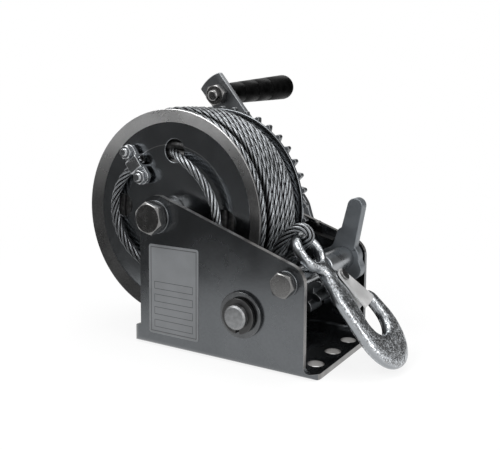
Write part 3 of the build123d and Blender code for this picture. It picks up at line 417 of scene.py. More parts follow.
MATERIAL_OF = {
    "zinc_plate": ZINC_PLATE, "zinc_bolt": ZINC_BOLT, "drum_sheet": DRUM_SHEET, "gear_steel": GEAR_STEEL,
    "bush_steel": BUSH_STEEL, "bush_nylon": BUSH_NYLON, "wire_rope": ROPE_WIRE, "cast_clip": CAST_CLIP,
    "crank_steel": CRANK_STEEL, "grip_plastic": GRIP_PLASTIC, "pawl_iron": PAWL_IRON,
    "spring_steel": SPRING_STEEL, "hook_zinc": HOOK_ZINC,
}
for node, holder in nodes.items():
    holder.data.materials.clear()
    holder.data.materials.append(MATERIAL_OF[SLOT_OF[node]])


# Ways of making pieces
DOUBLES, FLAT_ANGLE = 0.002 * MM, 0.6
BEVEL_ANGLE, SMOOTH_ANGLE = 32, 40
HEX_EASE, HEX_ANGLE, HEX_SMOOTH = 0.25 * MM, 45, 20
CROWN_SHARE, CROWN_FACE, CROWN_ROOM, CROWN_SIDES = 0.072, 0.95, 1.02, 72
# Shares of a thread's pitch: its depth, where the crest starts and ends, and where the next root lies
THREAD_DEPTH, CREST_FROM, CREST_TO, ROOT_AT, THREAD_SIDES = 0.55, 0.4, 0.55, 0.95, 40


def pick(piece):
    bpy.ops.object.select_all(action="DESELECT")
    piece.select_set(True)
    bpy.context.view_layer.objects.active = piece


def edit(piece):
    pick(piece)
    bpy.ops.object.mode_set(mode="EDIT")
    bpy.ops.mesh.select_all(action="SELECT")


def done(smooth=SMOOTH_ANGLE):
    """Leaves edit mode with the faces turned outwards and the round faces shaded smooth."""
    bpy.ops.mesh.select_all(action="SELECT")
    bpy.ops.mesh.normals_make_consistent(inside=False)
    bpy.ops.object.mode_set(mode="OBJECT")
    bpy.ops.object.shade_smooth_by_angle(angle=radians(smooth))


def settle(piece):
    """Takes a new piece's place, turn and scale into its mesh."""
    pick(piece)
    bpy.ops.object.transform_apply(location=True, rotation=True, scale=True)


def finish_piece(piece, node, material, replaces=True):
    """Gives a piece its material, the body that it moves with, and the node that it stands for."""
    piece.data.materials.clear()
    piece.data.materials.append(material)
    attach(piece, BODY_OF[node])
    if replaces:
        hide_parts(node)


def modified(piece, kind, **settings):
    """Adds a modifier with its settings, and applies it."""
    modifier = piece.modifiers.new(kind.lower(), kind)
    for key, value in settings.items():
        setattr(modifier, key, value)
    pick(piece)
    bpy.ops.object.modifier_apply(modifier=modifier.name)


def bevelled(piece, width, segments, angle=BEVEL_ANGLE, smooth=SMOOTH_ANGLE):
    modified(piece, "BEVEL", width=width, segments=segments, limit_method="ANGLE", angle_limit=radians(angle))
    bpy.ops.object.shade_smooth_by_angle(angle=radians(smooth))


def grown(piece, distance):
    modified(piece, "DISPLACE", strength=distance, mid_level=0.0)


def cut(piece, tool, operation="DIFFERENCE"):
    modified(piece, "BOOLEAN", operation=operation, object=tool, solver="EXACT")
    bpy.data.objects.remove(tool)


def sheared(piece, place, way):
    """Takes off what lies beyond a plane, and closes the cut."""
    edit(piece)
    bpy.ops.mesh.bisect(plane_co=place, plane_no=way, use_fill=True, clear_outer=True)
    done()


def traced(node, name):
    """A piece of its own from a CAD node, its loose triangles joined to clean faces."""
    piece = bpy.data.objects.new(name, nodes[node].data.copy())
    bpy.context.scene.collection.objects.link(piece)
    edit(piece)
    bpy.ops.mesh.remove_doubles(threshold=DOUBLES)
    bpy.ops.mesh.dissolve_limited(angle_limit=radians(FLAT_ANGLE))
    done()
    return piece


def eased(node, name, width, segments=2, material=None, angle=BEVEL_ANGLE):
    """A CAD node with its sharp edges eased as the maker's tumbling, pressing or casting leaves them."""
    piece = traced(node, name)
    bevelled(piece, width, segments, angle)
    finish_piece(piece, node, material or MATERIAL_OF[SLOT_OF[node]])
    return piece


def turned(name, centre, axis, profile, sides=64):
    """A turned piece: a disc drawn out ring by ring along its axis, from pairs of radius and distance."""
    radius, reach = profile[0]
    slant = axis.to_track_quat("Z", "Y").to_euler()
    bpy.ops.mesh.primitive_circle_add(vertices=sides, radius=radius, fill_type="NGON",
                                      location=centre + axis * reach, rotation=slant)
    piece = bpy.context.object
    piece.name = name
    settle(piece)
    edit(piece)
    for (r_a, y_a), (r_b, y_b) in zip(profile, profile[1:]):
        bpy.ops.mesh.extrude_region_move(TRANSFORM_OT_translate={"value": axis * (y_b - y_a)})
        bpy.ops.transform.resize(value=(r_b / r_a,) * 3, center_override=centre + axis * y_b)
    done()
    return piece


def hexagon(name, centre, axis, flats, low, high, twist=0.0):
    """A hexagon head or nut: a six-sided bar whose ends are turned to a crown."""
    corner = flats / sqrt(3)
    slant = axis.to_track_quat("Z", "Y").to_matrix() @ Matrix.Rotation(twist, 3, "Z")
    bpy.ops.mesh.primitive_cylinder_add(vertices=6, radius=corner, depth=high - low,
                                        location=centre + axis * (low + high) / 2, rotation=slant.to_euler())
    piece = bpy.context.object
    piece.name = name
    settle(piece)
    face, room, rise = flats / 2 * CROWN_FACE, corner * CROWN_ROOM, flats * CROWN_SHARE
    profile = [(face, low), (room, low + rise), (room, high - rise), (face, high)]
    cut(piece, turned(name + "_crown", centre, axis, profile, CROWN_SIDES), "INTERSECT")
    bevelled(piece, HEX_EASE, 2, HEX_ANGLE, HEX_SMOOTH)
    return piece


def threaded(name, centre, axis, radius, low, high, pitch):
    """A threaded end: a rod drawn out ring by ring, crest and root by turns, with a chamfered tip."""
    depth = pitch * THREAD_DEPTH
    profile = [(radius - depth, low)]
    reach = low
    while reach + pitch < high - depth:
        profile += [(radius, reach + pitch * CREST_FROM), (radius, reach + pitch * CREST_TO),
                    (radius - depth, reach + pitch * ROOT_AT)]
        reach += pitch
    profile += [(radius, reach + pitch * CREST_FROM), (radius, high - depth), (radius - depth, high)]
    return turned(name, centre, axis, profile, THREAD_SIDES)


def joined(name, pieces):
    bpy.ops.object.select_all(action="DESELECT")
    for piece in pieces:
        piece.select_set(True)
    bpy.context.view_layer.objects.active = pieces[0]
    bpy.ops.object.join()
    pieces[0].name = name
    return pieces[0]


def ends(node):
    """How far a node reaches across the winch, from and to."""
    low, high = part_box(node)
    return low.y, high.y


def span(piece, way):
    """How far a piece reaches along a direction, from and to."""
    reach = [vertex.co.dot(way) for vertex in piece.data.vertices]
    return min(reach), max(reach)


# Wire rope: six strands laid about a spline
STRANDS, STRAND_R = 6, 1.32 * MM
ROPE_LAY = 46.0 * MM
SPLINE_FINENESS, SPLINE_ORDER = 24, 3
TAIL_STEP, ANCHOR_STEP, TURNS_STEP = 1.6 * MM, 2.0 * MM, 4.0 * MM


def route_line(name, route):
    """Points along the spline of a rope's route."""
    curve = bpy.data.curves.new(name, "CURVE")
    curve.dimensions = "3D"
    curve.resolution_u = SPLINE_FINENESS
    spline = curve.splines.new("NURBS")
    spline.points.add(len(route) - 1)
    for point, place in zip(spline.points, route):
        point.co = (*place, 1)
    spline.order_u = SPLINE_ORDER
    spline.use_endpoint_u = True
    holder = bpy.data.objects.new(name, curve)
    mesh = bpy.data.meshes.new_from_object(holder)
    line = [vertex.co.copy() for vertex in mesh.vertices]
    bpy.data.objects.remove(holder)
    bpy.data.curves.remove(curve)
    bpy.data.meshes.remove(mesh)
    return line


def stepped(line, step):
    """The same line with points about one step apart, and its length."""
    far = [0.0]
    for a, b in zip(line, line[1:]):
        far.append(far[-1] + (b - a).length)
    count = max(2, round(far[-1] / step))
    points, place = [], 0
    for index in range(count + 1):
        at = far[-1] * index / count
        while place < len(line) - 2 and far[place + 1] < at:
            place += 1
        share = (at - far[place]) / max(far[place + 1] - far[place], 1e-12)
        points.append(line[place].lerp(line[place + 1], share))
    return points, far[-1]


def laid_rope(name, line, step, sides=8, drum=False):
    """Six round strands laid about a line, with a map of length and way round for the wires, and one of
    how far each place faces away from the drum's axle."""
    points, length = stepped(line, step)
    count = len(points)
    ahead = [(points[min(i + 1, count - 1)] - points[max(i - 1, 0)]).normalized() for i in range(count)]
    side = ahead[0].orthogonal().normalized()
    rings = []
    for i in range(count):
        side = (side - ahead[i] * side.dot(ahead[i])).normalized()
        rings.append((points[i], side.copy(), ahead[i].cross(side)))
    vertices, faces, maps, outer = [], [], [], []
    for strand in range(STRANDS):
        base = len(vertices)
        for i, (place, u, v) in enumerate(rings):
            lay = 2 * pi * (strand / STRANDS + length * i / (count - 1) / ROPE_LAY)
            middle = place + (u * cos(lay) + v * sin(lay)) * (ROPE_R - STRAND_R)
            from_axle = Vector((place.x - AXLE.x, 0, place.z - AXLE.z)).normalized()
            for j in range(sides):
                way = lay + 2 * pi * j / sides
                vertices.append(middle + (u * cos(way) + v * sin(way)) * STRAND_R)
                outer.append((vertices[-1] - place).normalized().dot(from_axle) if drum else 1.0)
        for i in range(count - 1):
            along = [length * k / (count - 1) / MM for k in (i, i + 1)]
            for j in range(sides):
                k = (j + 1) % sides
                faces.append((base + i * sides + j, base + i * sides + k,
                              base + (i + 1) * sides + k, base + (i + 1) * sides + j))
                maps += [(along[0], j / sides), (along[0], (j + 1) / sides),
                         (along[1], (j + 1) / sides), (along[1], j / sides)]
        last = base + (count - 1) * sides
        faces.append(tuple(base + j for j in reversed(range(sides))))
        faces.append(tuple(last + j for j in range(sides)))
        maps += [(0.0, 0.0)] * (2 * sides)
    mesh = bpy.data.meshes.new(name)
    mesh.from_pydata(vertices, [], faces)
    layer = mesh.uv_layers.new(name="lay")
    layer.data.foreach_set("uv", [value for pair in maps for value in pair])
    layer = mesh.uv_layers.new(name="outer")
    outward = [(outer[corner], 0.0) for face in faces for corner in face]
    layer.data.foreach_set("uv", [value for pair in outward for value in pair])
    mesh.polygons.foreach_set("use_smooth", [True] * len(faces))
    rope = bpy.data.objects.new(name, mesh)
    bpy.context.scene.collection.objects.link(rope)
    return rope, points, length


def round_axle(angle, radius, across):
    """A place by its angle round the axle in degrees, and its radius and place across in millimetres."""
    return AXLE + Vector((radius * cos(radians(angle)), across, radius * sin(radians(angle)))) * MM


# Routes: the tail in X, Y and Z, and the anchored end in angle, radius and place across
TAIL_ROUTE = [(11.5, -23.6, 51.2), (22.5, -26.2, 60.6), (37.2, -27.2, 89.9), (51.7, -27.2, 101.2),
              (60.2, -22.6, 91.8), (39.5, -22.6, 75.6), (28.7, -24.8, 54.4)]
ANCHOR_ROUTE = [(97, 48.5, -25), (78, 46.5, -40), (50, 45, -42), (20, 46.5, -41.5), (-10, 49, -40.5),
                (-42, 48, -40), (-75, 46.5, -39.6), (-108, 46, -39.2), (-140, 49.5, -38.8),
                (-168, 53.5, -38.4), (168, 54.5, -37.6), (144, 51.5, -36.9), (121, 48.5, -36.9)]

tail_line = route_line("tail_route", [Vector(place) * MM for place in TAIL_ROUTE])
tail, tail_path, tail_length = laid_rope("rope_tail_strands", tail_line, TAIL_STEP)
finish_piece(tail, "rope_tail", ROPE_WIRE)

anchor_line = route_line("anchor_route", [round_axle(*place) for place in ANCHOR_ROUTE])
anchor, anchor_path, anchor_length = laid_rope("rope_end_strands", anchor_line, ANCHOR_STEP)
finish_piece(anchor, "rope_anchor_end", ROPE_WIRE)

# The winding: turns laid side by side from the far flange to the near one, each stepping across to the next
# behind the drum's foot, and a last length on top of them to the tail. In pairs of place across and radius of
# the rope's centre.
TURNS = [(26.7, 71.8), (19.08, 75.5), (11.47, 77.8), (3.85, 78.45), (-3.77, 78.45), (-11.38, 78.45),
         (-19.0, 78.45), (-28.0, 76.6), (-23.6, 83.3)]
STEP_START, STEP_END, TAIL_ANGLE = -165.0, -110.0, -35.9
TURN_STEP = 15.0
SPLINE_SHRINK = (3 + cos(radians(TURN_STEP))) / 4
WAVER, WAVER_SHIFT = 0.25, 70


def winding_route():
    """The route of the rope's top layer, turn after turn, set out by as much as the spline pulls in."""
    route = []
    finish = 360 * (len(TURNS) - 1) + TAIL_ANGLE
    angle = STEP_END
    while angle <= finish:
        number = int((angle - STEP_END) // 360)
        across, radius = TURNS[number]
        over = angle - 360 * (number + 1) - STEP_START
        if over > 0:
            share = over / (STEP_END - STEP_START)
            share = share * share * (3 - 2 * share)
            across += (TURNS[number + 1][0] - across) * share
            radius += (TURNS[number + 1][1] - radius) * share
        across += WAVER * sin(radians(2 * angle + WAVER_SHIFT * number))
        route.append(round_axle(angle, radius / SPLINE_SHRINK, across))
        angle += TURN_STEP
    return route


turns_line = route_line("turns_route", winding_route())
turns = laid_rope("rope_turns", turns_line, TURNS_STEP, 7, drum=True)[0]
finish_piece(turns, "rope_winding", ROPE_WIRE, replaces=False)

HALF_WIDTH, CORE_R, FLANK_R, SINK = 30.2, 30.4, 69.5, 2.2
deep_profile = [(CORE_R, -HALF_WIDTH), (FLANK_R, -HALF_WIDTH)]
deep_profile += [(radius - SINK, across) for across, radius in reversed(TURNS[:-1])]
deep_profile += [(TURNS[0][1] - SINK, HALF_WIDTH), (CORE_R, HALF_WIDTH)]
deep = turned("rope_lower_layers", AXLE, ACROSS, [(r * MM, y * MM) for r, y in deep_profile], 96)
# The lower layers take the rope's painted shade
finish_piece(deep, "rope_winding", ROPE_DEEP_SHADED)


# Frame: its sides sweep up from the base at the front, which a block with one rounded edge cuts out
PLATE, PLATE_EASE = 4.0 * MM, 0.5 * MM
SIDE_FRONT, FOOT_SWEEP, FOOT_TOP, FOOT_BLOCK = 67.0 * MM, 4.2 * MM, 4.3 * MM, 20 * MM
plate_low, plate_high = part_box("frame_channel")
block_x, block_z = SIDE_FRONT + FOOT_BLOCK / 2, FOOT_TOP + FOOT_BLOCK / 2
bpy.ops.mesh.primitive_cube_add(size=1, location=(block_x, (plate_low.y + plate_high.y) / 2, block_z))
block = bpy.context.object
block.scale = (FOOT_BLOCK, plate_high.y - plate_low.y + FOOT_BLOCK / 2, FOOT_BLOCK)
settle(block)
for edge in block.data.edges:
    corners = [block.data.vertices[index].co for index in edge.vertices]
    edge.select = all(corner.x < block_x and corner.z < block_z for corner in corners)
pick(block)
bpy.context.tool_settings.mesh_select_mode = (False, True, False)
bpy.ops.object.mode_set(mode="EDIT")
bpy.ops.mesh.bevel(offset=FOOT_SWEEP, segments=7)
done()
bpy.context.tool_settings.mesh_select_mode = (True, False, False)
plate = traced("frame_channel", "frame_plate")
cut(plate, block)
bevelled(plate, PLATE_EASE, 3)
finish_piece(plate, "frame_channel", ZINC_PLATE)

# The sheared edges and hole walls of the frame are bare and brighter than its faces
SKIN, BEND_ROOM, SIDE_FROM = 0.1 * MM, 6 * MM, 8 * MM
EDGE_ON, FACING_UP = 0.35, 0.3
plate.data.materials.append(CUT_EDGE)
for face in plate.data.polygons:
    place, way = face.center, face.normal
    to_side = min(place.y - plate_low.y, plate_high.y - place.y)
    in_base = place.z < PLATE - SKIN and abs(way.z) < EDGE_ON and to_side > BEND_ROOM
    seen = place.y < 0 or way.z > FACING_UP
    in_side = seen and SKIN < to_side < PLATE - SKIN and abs(way.y) < EDGE_ON and place.z > SIDE_FROM
    face.material_index = int(in_base or in_side)

# The near flange, whose flared rim is lighter and less smooth than its face: its colour is painted light, near
# white above and fading to painted shade at its foot
FLANGE_EASE, FLANGE_ANGLE, RIM_FROM = 0.6 * MM, 15, 70.0 * MM
flange = eased("drum_flange_near", "flange_near", FLANGE_EASE, 3, angle=FLANGE_ANGLE)
flange.data.materials.append(DRUM_RIM_PAINTED_LIGHT)
for face in flange.data.polygons:
    out = Vector((face.center.x - AXLE.x, 0, face.center.z - AXLE.z))
    face.material_index = int(out.length > RIM_FROM)

# Pieces with only their edges eased: node, name, width in millimetres, steps and any finish of their own
EASED = [
    ("drum_flange_far", "flange_far", 0.5, 3, None),
    ("drive_gear", "gear_wheel", 0.35, 2, None),
    ("pinion_gear", "pinion", 0.3, 2, None),
    ("pinion_shaft", "shaft", 0.8, 3, SHAFT_STEEL),
    ("retaining_ring", "shaft_ring", 0.3, 2, RING_STEEL),
    ("pinion_bush_near", "bush_near", 0.5, 3, None),
    ("pinion_bush_far", "bush_far", 0.5, 3, None),
    ("drum_hub", "hub", 0.4, 2, HUB_STEEL),
    ("ratchet_pawl", "pawl", 1.0, 3, None),
    ("crank_arm", "arm", 0.6, 3, None),
    ("hook_latch", "latch", 0.3, 2, LATCH_STEEL),
    ("latch_rivet", "latch_pin", 0.5, 3, ZINC_BOLT),
    ("anchor_saddle", "clip_saddle", 0.6, 3, None),
    ("axle_washers", "axle_washers_eased", 0.35, 2, None),
    ("tie_washers", "tie_washers_eased", 0.35, 2, None),
    ("crank_washer", "crank_washer_eased", 0.35, 2, None),
    ("rope_ferrule", "ferrule", 0.8, 3, None),
]
made = {name: eased(node, name, width * MM, steps, finish) for node, name, width, steps, finish in EASED}

# The latch turns on its pin with a running fit
PIN_FIT = 0.1 * MM
grown(made["latch_pin"], -PIN_FIT)

# Pawl spring: its tab is sheared to the slope of the frame's edge, and its rivet has small domed heads
SPRING_AT, EDGE_SLOPE = Vector((25.0, 0, 86.0)) * MM, Vector((0.329, 0, 0.944))
TAB_ROOM, SPRING_EASE = 0.8 * MM, 0.2 * MM
spring = traced("pawl_spring", "spring_leaf")
sheared(spring, SPRING_AT + EDGE_SLOPE * TAB_ROOM, EDGE_SLOPE)
bevelled(spring, SPRING_EASE, 2)
finish_piece(spring, "pawl_spring", SPRING_STEEL)

RIVET_R, RIVET_HEAD_R, RIVET_HEAD = 2.0 * MM, 2.9 * MM, 1.6 * MM
RIVET_TOP_R, RIVET_DOME_R, RIVET_DOME = 1.3 * MM, 2.3 * MM, 0.4 * MM
low, high = ends("pawl_spring_rivet")
rivet = turned("spring_rivet", SPRING_AT, ACROSS, [
    (RIVET_TOP_R, low), (RIVET_DOME_R, low + RIVET_DOME), (RIVET_HEAD_R, low + RIVET_HEAD),
    (RIVET_R, low + RIVET_HEAD), (RIVET_R, high - RIVET_HEAD),
    (RIVET_HEAD_R, high - RIVET_HEAD), (RIVET_DOME_R, high - RIVET_DOME), (RIVET_TOP_R, high)], 40)
finish_piece(rivet, "pawl_spring_rivet", SPRING_STEEL)

# Tie tube, thicker where it carries the pawl's long hub
TUBE_R, TUBE_HUB_R, TUBE_BORE = 7.0 * MM, 8.8 * MM, 5.2 * MM
HUB_FROM, TUBE_EASE = 4.0 * MM, 0.6 * MM
low, high = ends("tie_tube")
tube = turned("spacer_tube", TIE, ACROSS, [
    (TUBE_BORE, low), (TUBE_R - TUBE_EASE, low), (TUBE_R, low + TUBE_EASE), (TUBE_R, HUB_FROM),
    (TUBE_HUB_R - TUBE_EASE, HUB_FROM), (TUBE_HUB_R, HUB_FROM + TUBE_EASE),
    (TUBE_HUB_R, high - TUBE_EASE), (TUBE_HUB_R - TUBE_EASE, high), (TUBE_BORE, high)])
finish_piece(tube, "tie_tube", TUBE_STEEL)

# Hook: the traced shape, rounded as a forging, and brought back to its own thickness
HOOK_VOXEL, HOOK_PASSES, HOOK_FILL = 0.75 * MM, 80, 0.5 * MM
hook = traced("hook", "hook_forged")
modified(hook, "REMESH", mode="VOXEL", voxel_size=HOOK_VOXEL)
modified(hook, "SMOOTH", factor=0.5, iterations=HOOK_PASSES)
grown(hook, HOOK_FILL)
cad_from, cad_to = span(nodes["hook"], HOOK_FACING)
hook_from, hook_to = span(hook, HOOK_FACING)
hook_side = HOOK_FACING.orthogonal().normalized()
edit(hook)
bpy.ops.transform.resize(value=(1, 1, (cad_to - cad_from) / (hook_to - hook_from)), orient_type="LOCAL",
                         orient_matrix=(hook_side, HOOK_FACING.cross(hook_side), HOOK_FACING),
                         orient_matrix_type="LOCAL", center_override=HOOK_FACING * (hook_from + hook_to) / 2)
done()
bpy.ops.object.shade_smooth()
finish_piece(hook, "hook", HOOK_ZINC)


# Bolts and nuts. For each bolt: its flats, the head's height, the radius, the thread's pitch and the twist.
AXLE_FLATS, TIE_FLATS, CRANK_FLATS, NUT_TWIST = 22.0 * MM, 16.0 * MM, 18.0 * MM, pi / 6
STEM_FROM = 0.9
for name, centre, flats, head_high, radius, pitch, twist in (
        ("axle", AXLE, AXLE_FLATS, 8.8 * MM, 7.0 * MM, 2.0 * MM, -12),
        ("tie", TIE, TIE_FLATS, 6.4 * MM, 5.0 * MM, 1.5 * MM, 41)):
    low, high = ends(name + "_bolt")
    head = hexagon(name + "_head", centre, ACROSS, flats, low, low + head_high, radians(twist))
    stem = threaded(name + "_stem", centre, ACROSS, radius, low + head_high * STEM_FROM, high, pitch)
    finish_piece(joined(name + "_bolt_turned", [head, stem]), name + "_bolt", ZINC_BOLT)

for node, centre, flats in (("axle_nut", AXLE, AXLE_FLATS), ("tie_nut", TIE, TIE_FLATS),
                            ("crank_nut", PINION, CRANK_FLATS)):
    low, high = ends(node)
    finish_piece(hexagon(node + "_turned", centre, ACROSS, flats, low, high, NUT_TWIST), node, ZINC_BOLT)

# Clip: a nut and a threaded end on each leg of the U-bolt, whose legs stand at opposite corners of its box
CLIP_FLATS, CLIP_STUD_R, CLIP_PITCH = 10.0 * MM, 3.0 * MM, 1.0 * MM
nut_low, nut_high = ends("anchor_nuts")
clip_low, clip_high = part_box("anchor_u_bolt")
clip_bolt = traced("anchor_u_bolt", "clip_u_bolt")
sheared(clip_bolt, (0, nut_high, 0), (0, -1, 0))
clip_nuts, clip_pieces = [], [clip_bolt]
for x, z, twist in ((clip_low.x + CLIP_STUD_R, clip_high.z - CLIP_STUD_R, 20),
                    (clip_high.x - CLIP_STUD_R, clip_low.z + CLIP_STUD_R, 50)):
    leg = Vector((x, 0, z))
    clip_nuts.append(hexagon("clip_nut", leg, ACROSS, CLIP_FLATS, nut_low, nut_high, radians(twist)))
    clip_pieces.append(threaded("clip_stud", leg, -ACROSS, CLIP_STUD_R, -nut_high, -clip_low.y, CLIP_PITCH))
finish_piece(joined("clip_nuts", clip_nuts), "anchor_nuts", CAST_CLIP)
finish_piece(joined("clip_u_bolt", clip_pieces), "anchor_u_bolt", CAST_CLIP)

# Grip's nut and spindle, along the grip's own axis. The spindle's tip is in pairs of radius and distance.
GRIP_FLATS, GRIP_NUT_LOW, GRIP_NUT_HIGH, GRIP_NUT_TWIST = 17.2 * MM, -8.3 * MM, -0.3 * MM, 0.3
nut = hexagon("grip_nut_turned", GRIP, GRIP_AXIS, GRIP_FLATS, GRIP_NUT_LOW, GRIP_NUT_HIGH, GRIP_NUT_TWIST)
finish_piece(nut, "grip_nut", ZINC_BOLT)

SPINDLE_TIP = ((3.2, 0.0), (4.1, 0.35), (4.8, 1.2), (5.0, 2.2))
SPINDLE_R, SPINDLE_SHOW, SPINDLE_IN = 5.0 * MM, 4.5 * MM, 110.0 * MM
COLLAR_R, COLLAR_FROM, COLLAR_TO = 8.0 * MM, 6.3 * MM, 9.3 * MM
spindle_from = GRIP_NUT_LOW - SPINDLE_SHOW
spindle_profile = [(r * MM, spindle_from + y * MM) for r, y in SPINDLE_TIP]
spindle_profile += [(SPINDLE_R, COLLAR_FROM), (COLLAR_R, COLLAR_FROM), (COLLAR_R, COLLAR_TO),
                    (SPINDLE_R, COLLAR_TO), (SPINDLE_R, SPINDLE_IN)]
spindle = turned("grip_spindle_turned", GRIP, GRIP_AXIS, spindle_profile, 48)
finish_piece(spindle, "grip_spindle", ZINC_BOLT)


# Grip: a moulded handle with three shallow grooves and a domed end
GRIP_START, GRIP_LENGTH, GRIP_BORE_R = 9.6 * MM, 132.0 * MM, 4.3 * MM
GRIP_R0, GRIP_R1, GRIP_DOME = 9.4 * MM, 12.85 * MM, 8.0 * MM
GRIP_EASE, GRIP_EASE_MID = 1.2 * MM, 0.35 * MM
GROOVES, GROOVE_WIDTH, GROOVE_DEPTH = (27.3 * MM, 54.2 * MM, 81.0 * MM), 1.4 * MM, 0.22 * MM
GROOVE_SHAPE = ((-1, 0), (-0.5, 0.7), (0, 1), (0.5, 0.7), (1, 0))
DOME_STEPS, DOME_FLAT, DOME_END = 7, 0.35, 0.28
dome_start = GRIP_LENGTH - GRIP_DOME


def grip_radius(at):
    return GRIP_R0 + (GRIP_R1 - GRIP_R0) * min(at / dome_start, 1)


grip_profile = [(GRIP_BORE_R, 0.0), (GRIP_R0 - GRIP_EASE, 0.0), (GRIP_R0 - GRIP_EASE_MID, GRIP_EASE_MID),
                (GRIP_R0, GRIP_EASE)]
for groove in GROOVES:
    for off, share in GROOVE_SHAPE:
        at = groove + off * GROOVE_WIDTH / 2
        grip_profile.append((grip_radius(at) - GROOVE_DEPTH * share, at))
grip_profile.append((GRIP_R1, dome_start))
for step in range(1, DOME_STEPS):
    way = pi / 2 * step / DOME_STEPS
    radius = GRIP_R1 * (DOME_FLAT + (1 - DOME_FLAT) * cos(way))
    grip_profile.append((radius, dome_start + GRIP_DOME * sin(way)))
grip_profile.append((GRIP_R1 * DOME_END, GRIP_LENGTH))
grip = turned("grip_moulded", GRIP + GRIP_AXIS * GRIP_START, GRIP_AXIS, grip_profile, 72)
finish_piece(grip, "crank_grip", GRIP_PLASTIC)


# Label plate: a thin foil with a ruled frame and empty boxes
LABEL_X, LABEL_Z, LABEL_Y = (-63.4 * MM, -18.0 * MM), (10.5 * MM, 79.0 * MM), -52.0 * MM
LABEL_WIDE, LABEL_HIGH = LABEL_X[1] - LABEL_X[0], LABEL_Z[1] - LABEL_Z[0]
LABEL_MIDDLE = ((LABEL_X[0] + LABEL_X[1]) / 2, (LABEL_Z[0] + LABEL_Z[1]) / 2)
LABEL_THICK, LABEL_CORNER, LABEL_SMOOTH = 0.25 * MM, 2.0 * MM, 30
BORDER_INSET, BORDER_HALF, RULE_HALF = 2.0 * MM, 0.3 * MM, 0.22 * MM
BOXES, BOX_TOP, BOX_PITCH, BOX_HALF, BOX_WIDE = 4, 48.0 * MM, 9.8 * MM, 2.7 * MM, 0.77
FOIL_LOW, FOIL_HIGH, INK_LEVEL, INK_SHARE = 108, 114, 45, 0.85


def label_material():
    """Pale printed foil: a thin dark frame near the edge and empty ruled boxes."""
    material, tree, shader = new_material("label_foil")
    place = apart(tree, object_place(tree))
    x, z = place["X"], place["Z"]
    off_x = calc(tree, "ABSOLUTE", calc(tree, "SUBTRACT", x, LABEL_MIDDLE[0]))
    off_z = calc(tree, "ABSOLUTE", calc(tree, "SUBTRACT", z, LABEL_MIDDLE[1]))
    inset = calc(tree, "MAXIMUM", calc(tree, "SUBTRACT", off_x, LABEL_WIDE / 2),
                 calc(tree, "SUBTRACT", off_z, LABEL_HIGH / 2))
    border = near(tree, inset, -BORDER_INSET, BORDER_HALF)
    row = calc(tree, "WRAP", calc(tree, "SUBTRACT", z, BOX_TOP), BOX_PITCH / 2, -BOX_PITCH / 2)
    box = calc(tree, "MAXIMUM", calc(tree, "SUBTRACT", off_x, LABEL_WIDE / 2 * BOX_WIDE),
               calc(tree, "SUBTRACT", calc(tree, "ABSOLUTE", row), BOX_HALF))
    in_rows = times(tree, calc(tree, "LESS_THAN", z, BOX_TOP + BOX_PITCH / 2),
                    calc(tree, "GREATER_THAN", z, BOX_TOP - (BOXES - 0.5) * BOX_PITCH))
    ink = calc(tree, "MAXIMUM", border, times(tree, near(tree, box, 0.0, RULE_HALF), in_rows))
    marks = use(tree, CLOUDING, Scale=60.0, Height=0.05)
    colour = blend(tree, marks["Cloud"], grey(FOIL_LOW, COOL), grey(FOIL_HIGH, COOL))
    tree.links.new(blend(tree, times(tree, ink, INK_SHARE), colour, grey(INK_LEVEL)), shader["Base Color"])
    tree.links.new(marks["Normal"], shader["Normal"])
    shader["Roughness"].default_value = 0.45
    return material


bpy.ops.mesh.primitive_plane_add(size=1, location=(LABEL_MIDDLE[0], LABEL_Y, LABEL_MIDDLE[1]),
                                 rotation=(pi / 2, 0, 0))
label = bpy.context.object
label.name = "label_plate"
label.scale = (LABEL_WIDE, LABEL_HIGH, 1)
settle(label)
edit(label)
bpy.ops.mesh.bevel(offset=LABEL_CORNER, segments=5, affect="VERTICES")
bpy.ops.mesh.extrude_region_move(TRANSFORM_OT_translate={"value": (0, -LABEL_THICK, 0)})
done(LABEL_SMOOTH)
label.data.materials.append(label_material())
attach(label, "frame")


# Studio
FLOOR_SIZE, FLOOR_DROP = 6.0, 0.2 * MM
FLOOR_WHITE, FLOOR_SHADE = 0.9, 0.84
FLOOR_NEAR, FLOOR_FAR = 0.16, 0.5
FILL = 0.55
LIT_PLACE = Vector((0, 0, 0.1))


def seen_white(tree):
    """One where a ray comes straight from the camera, or by way of a mirror or glass."""
    path = tree.nodes.new("ShaderNodeLightPath").outputs
    both = calc(tree, "MAXIMUM", path["Is Camera Ray"], path["Is Glossy Ray"])
    return calc(tree, "MAXIMUM", both, path["Is Transmission Ray"])


world = bpy.data.worlds.new("studio")
world.use_nodes = True
bpy.context.scene.world = world
tree = world.node_tree
back = tree.nodes["Background"].inputs
back["Color"].default_value = (1, 1, 1, 1)
tree.links.new(ramp(tree, seen_white(tree), 0.0, 1.0, FILL, 1.0), back["Strength"])

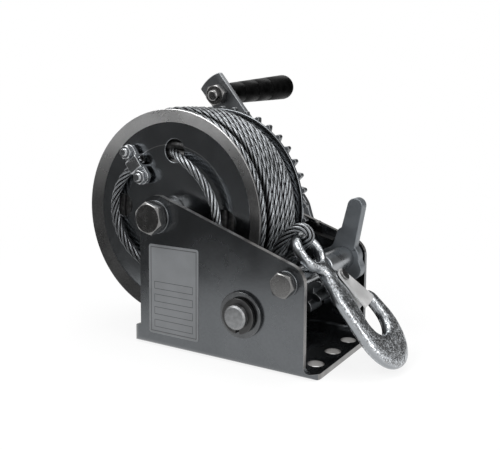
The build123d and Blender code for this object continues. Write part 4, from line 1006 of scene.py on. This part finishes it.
bpy.ops.mesh.primitive_plane_add(size=FLOOR_SIZE, location=(0, 0, -FLOOR_DROP))
floor = bpy.context.object
floor.name = "floor"
floor_material = bpy.data.materials.new("floor_pale")
floor_material.use_nodes = True
tree = floor_material.node_tree
tree.nodes.clear()
pale = add(tree, "ShaderNodeBsdfDiffuse", Color=(FLOOR_WHITE, FLOOR_WHITE, FLOOR_WHITE, 1))
white = add(tree, "ShaderNodeEmission", Color=(1, 1, 1, 1), Strength=1.0)
whiteness = ramp(tree, vector(tree, "LENGTH", object_place(tree)), FLOOR_NEAR, FLOOR_FAR, FLOOR_SHADE, 1.0)
mixed = add(tree, "ShaderNodeMixShader", in0=times(tree, seen_white(tree), whiteness),
            in1=pale.outputs[0], in2=white.outputs[0])
tree.links.new(mixed.outputs[0], tree.nodes.new("ShaderNodeOutputMaterial").inputs["Surface"])
floor.data.materials.append(floor_material)


def area_light(name, place, size, power):
    """A soft light that points at the winch."""
    light = bpy.data.lights.new(name, "AREA")
    light.shape = "RECTANGLE"
    light.size, light.size_y = size
    light.energy = power
    holder = bpy.data.objects.new(name, light)
    bpy.context.scene.collection.objects.link(holder)
    towards = (LIT_PLACE - Vector(place)).to_track_quat("-Z", "Y").to_matrix().to_4x4()
    holder.matrix_world = Matrix.Translation(place) @ towards


area_light("key", (-0.5, -0.7, 1.0), (0.7, 0.7), 9.0)
area_light("side", (0.9, -0.25, 0.5), (0.5, 0.8), 4.0)
area_light("top", (0.1, 0.3, 1.2), (0.8, 0.5), 5.0)


def dark_card(name, foot, facing, lean, size, level):
    """A dark sheet that stands beside the object and leans back, and that only mirror-like faces see."""
    wide, high = size
    away = Vector((-facing[0], -facing[1], 0)).normalized()
    rise = Vector((0, 0, cos(lean))) + away * sin(lean)
    towards = (rise.cross(away).cross(rise) * -1).to_track_quat("Z", "Y").to_matrix().to_4x4()
    bpy.ops.mesh.primitive_plane_add(size=1, location=(0, 0, 0))
    card = bpy.context.object
    card.name = name
    card.matrix_world = (Matrix.Translation(Vector(foot) + rise * high / 2) @ towards
                         @ Matrix.Diagonal((wide, high, 1, 1)))
    material, _, shader = new_material(name)
    shader["Base Color"].default_value = grey(level)
    shader["Roughness"].default_value = 1.0
    card.data.materials.append(material)
    card.visible_camera = card.visible_diffuse = card.visible_shadow = False


dark_card("card_front", (-0.115, -0.24, 0.0), (0.52, 0.85), radians(25), (0.5, 0.55), 87)
dark_card("card_back", (0.13, 0.52, 0.06), (-0.22, -0.85), radians(10), (0.62, 0.5), 60)
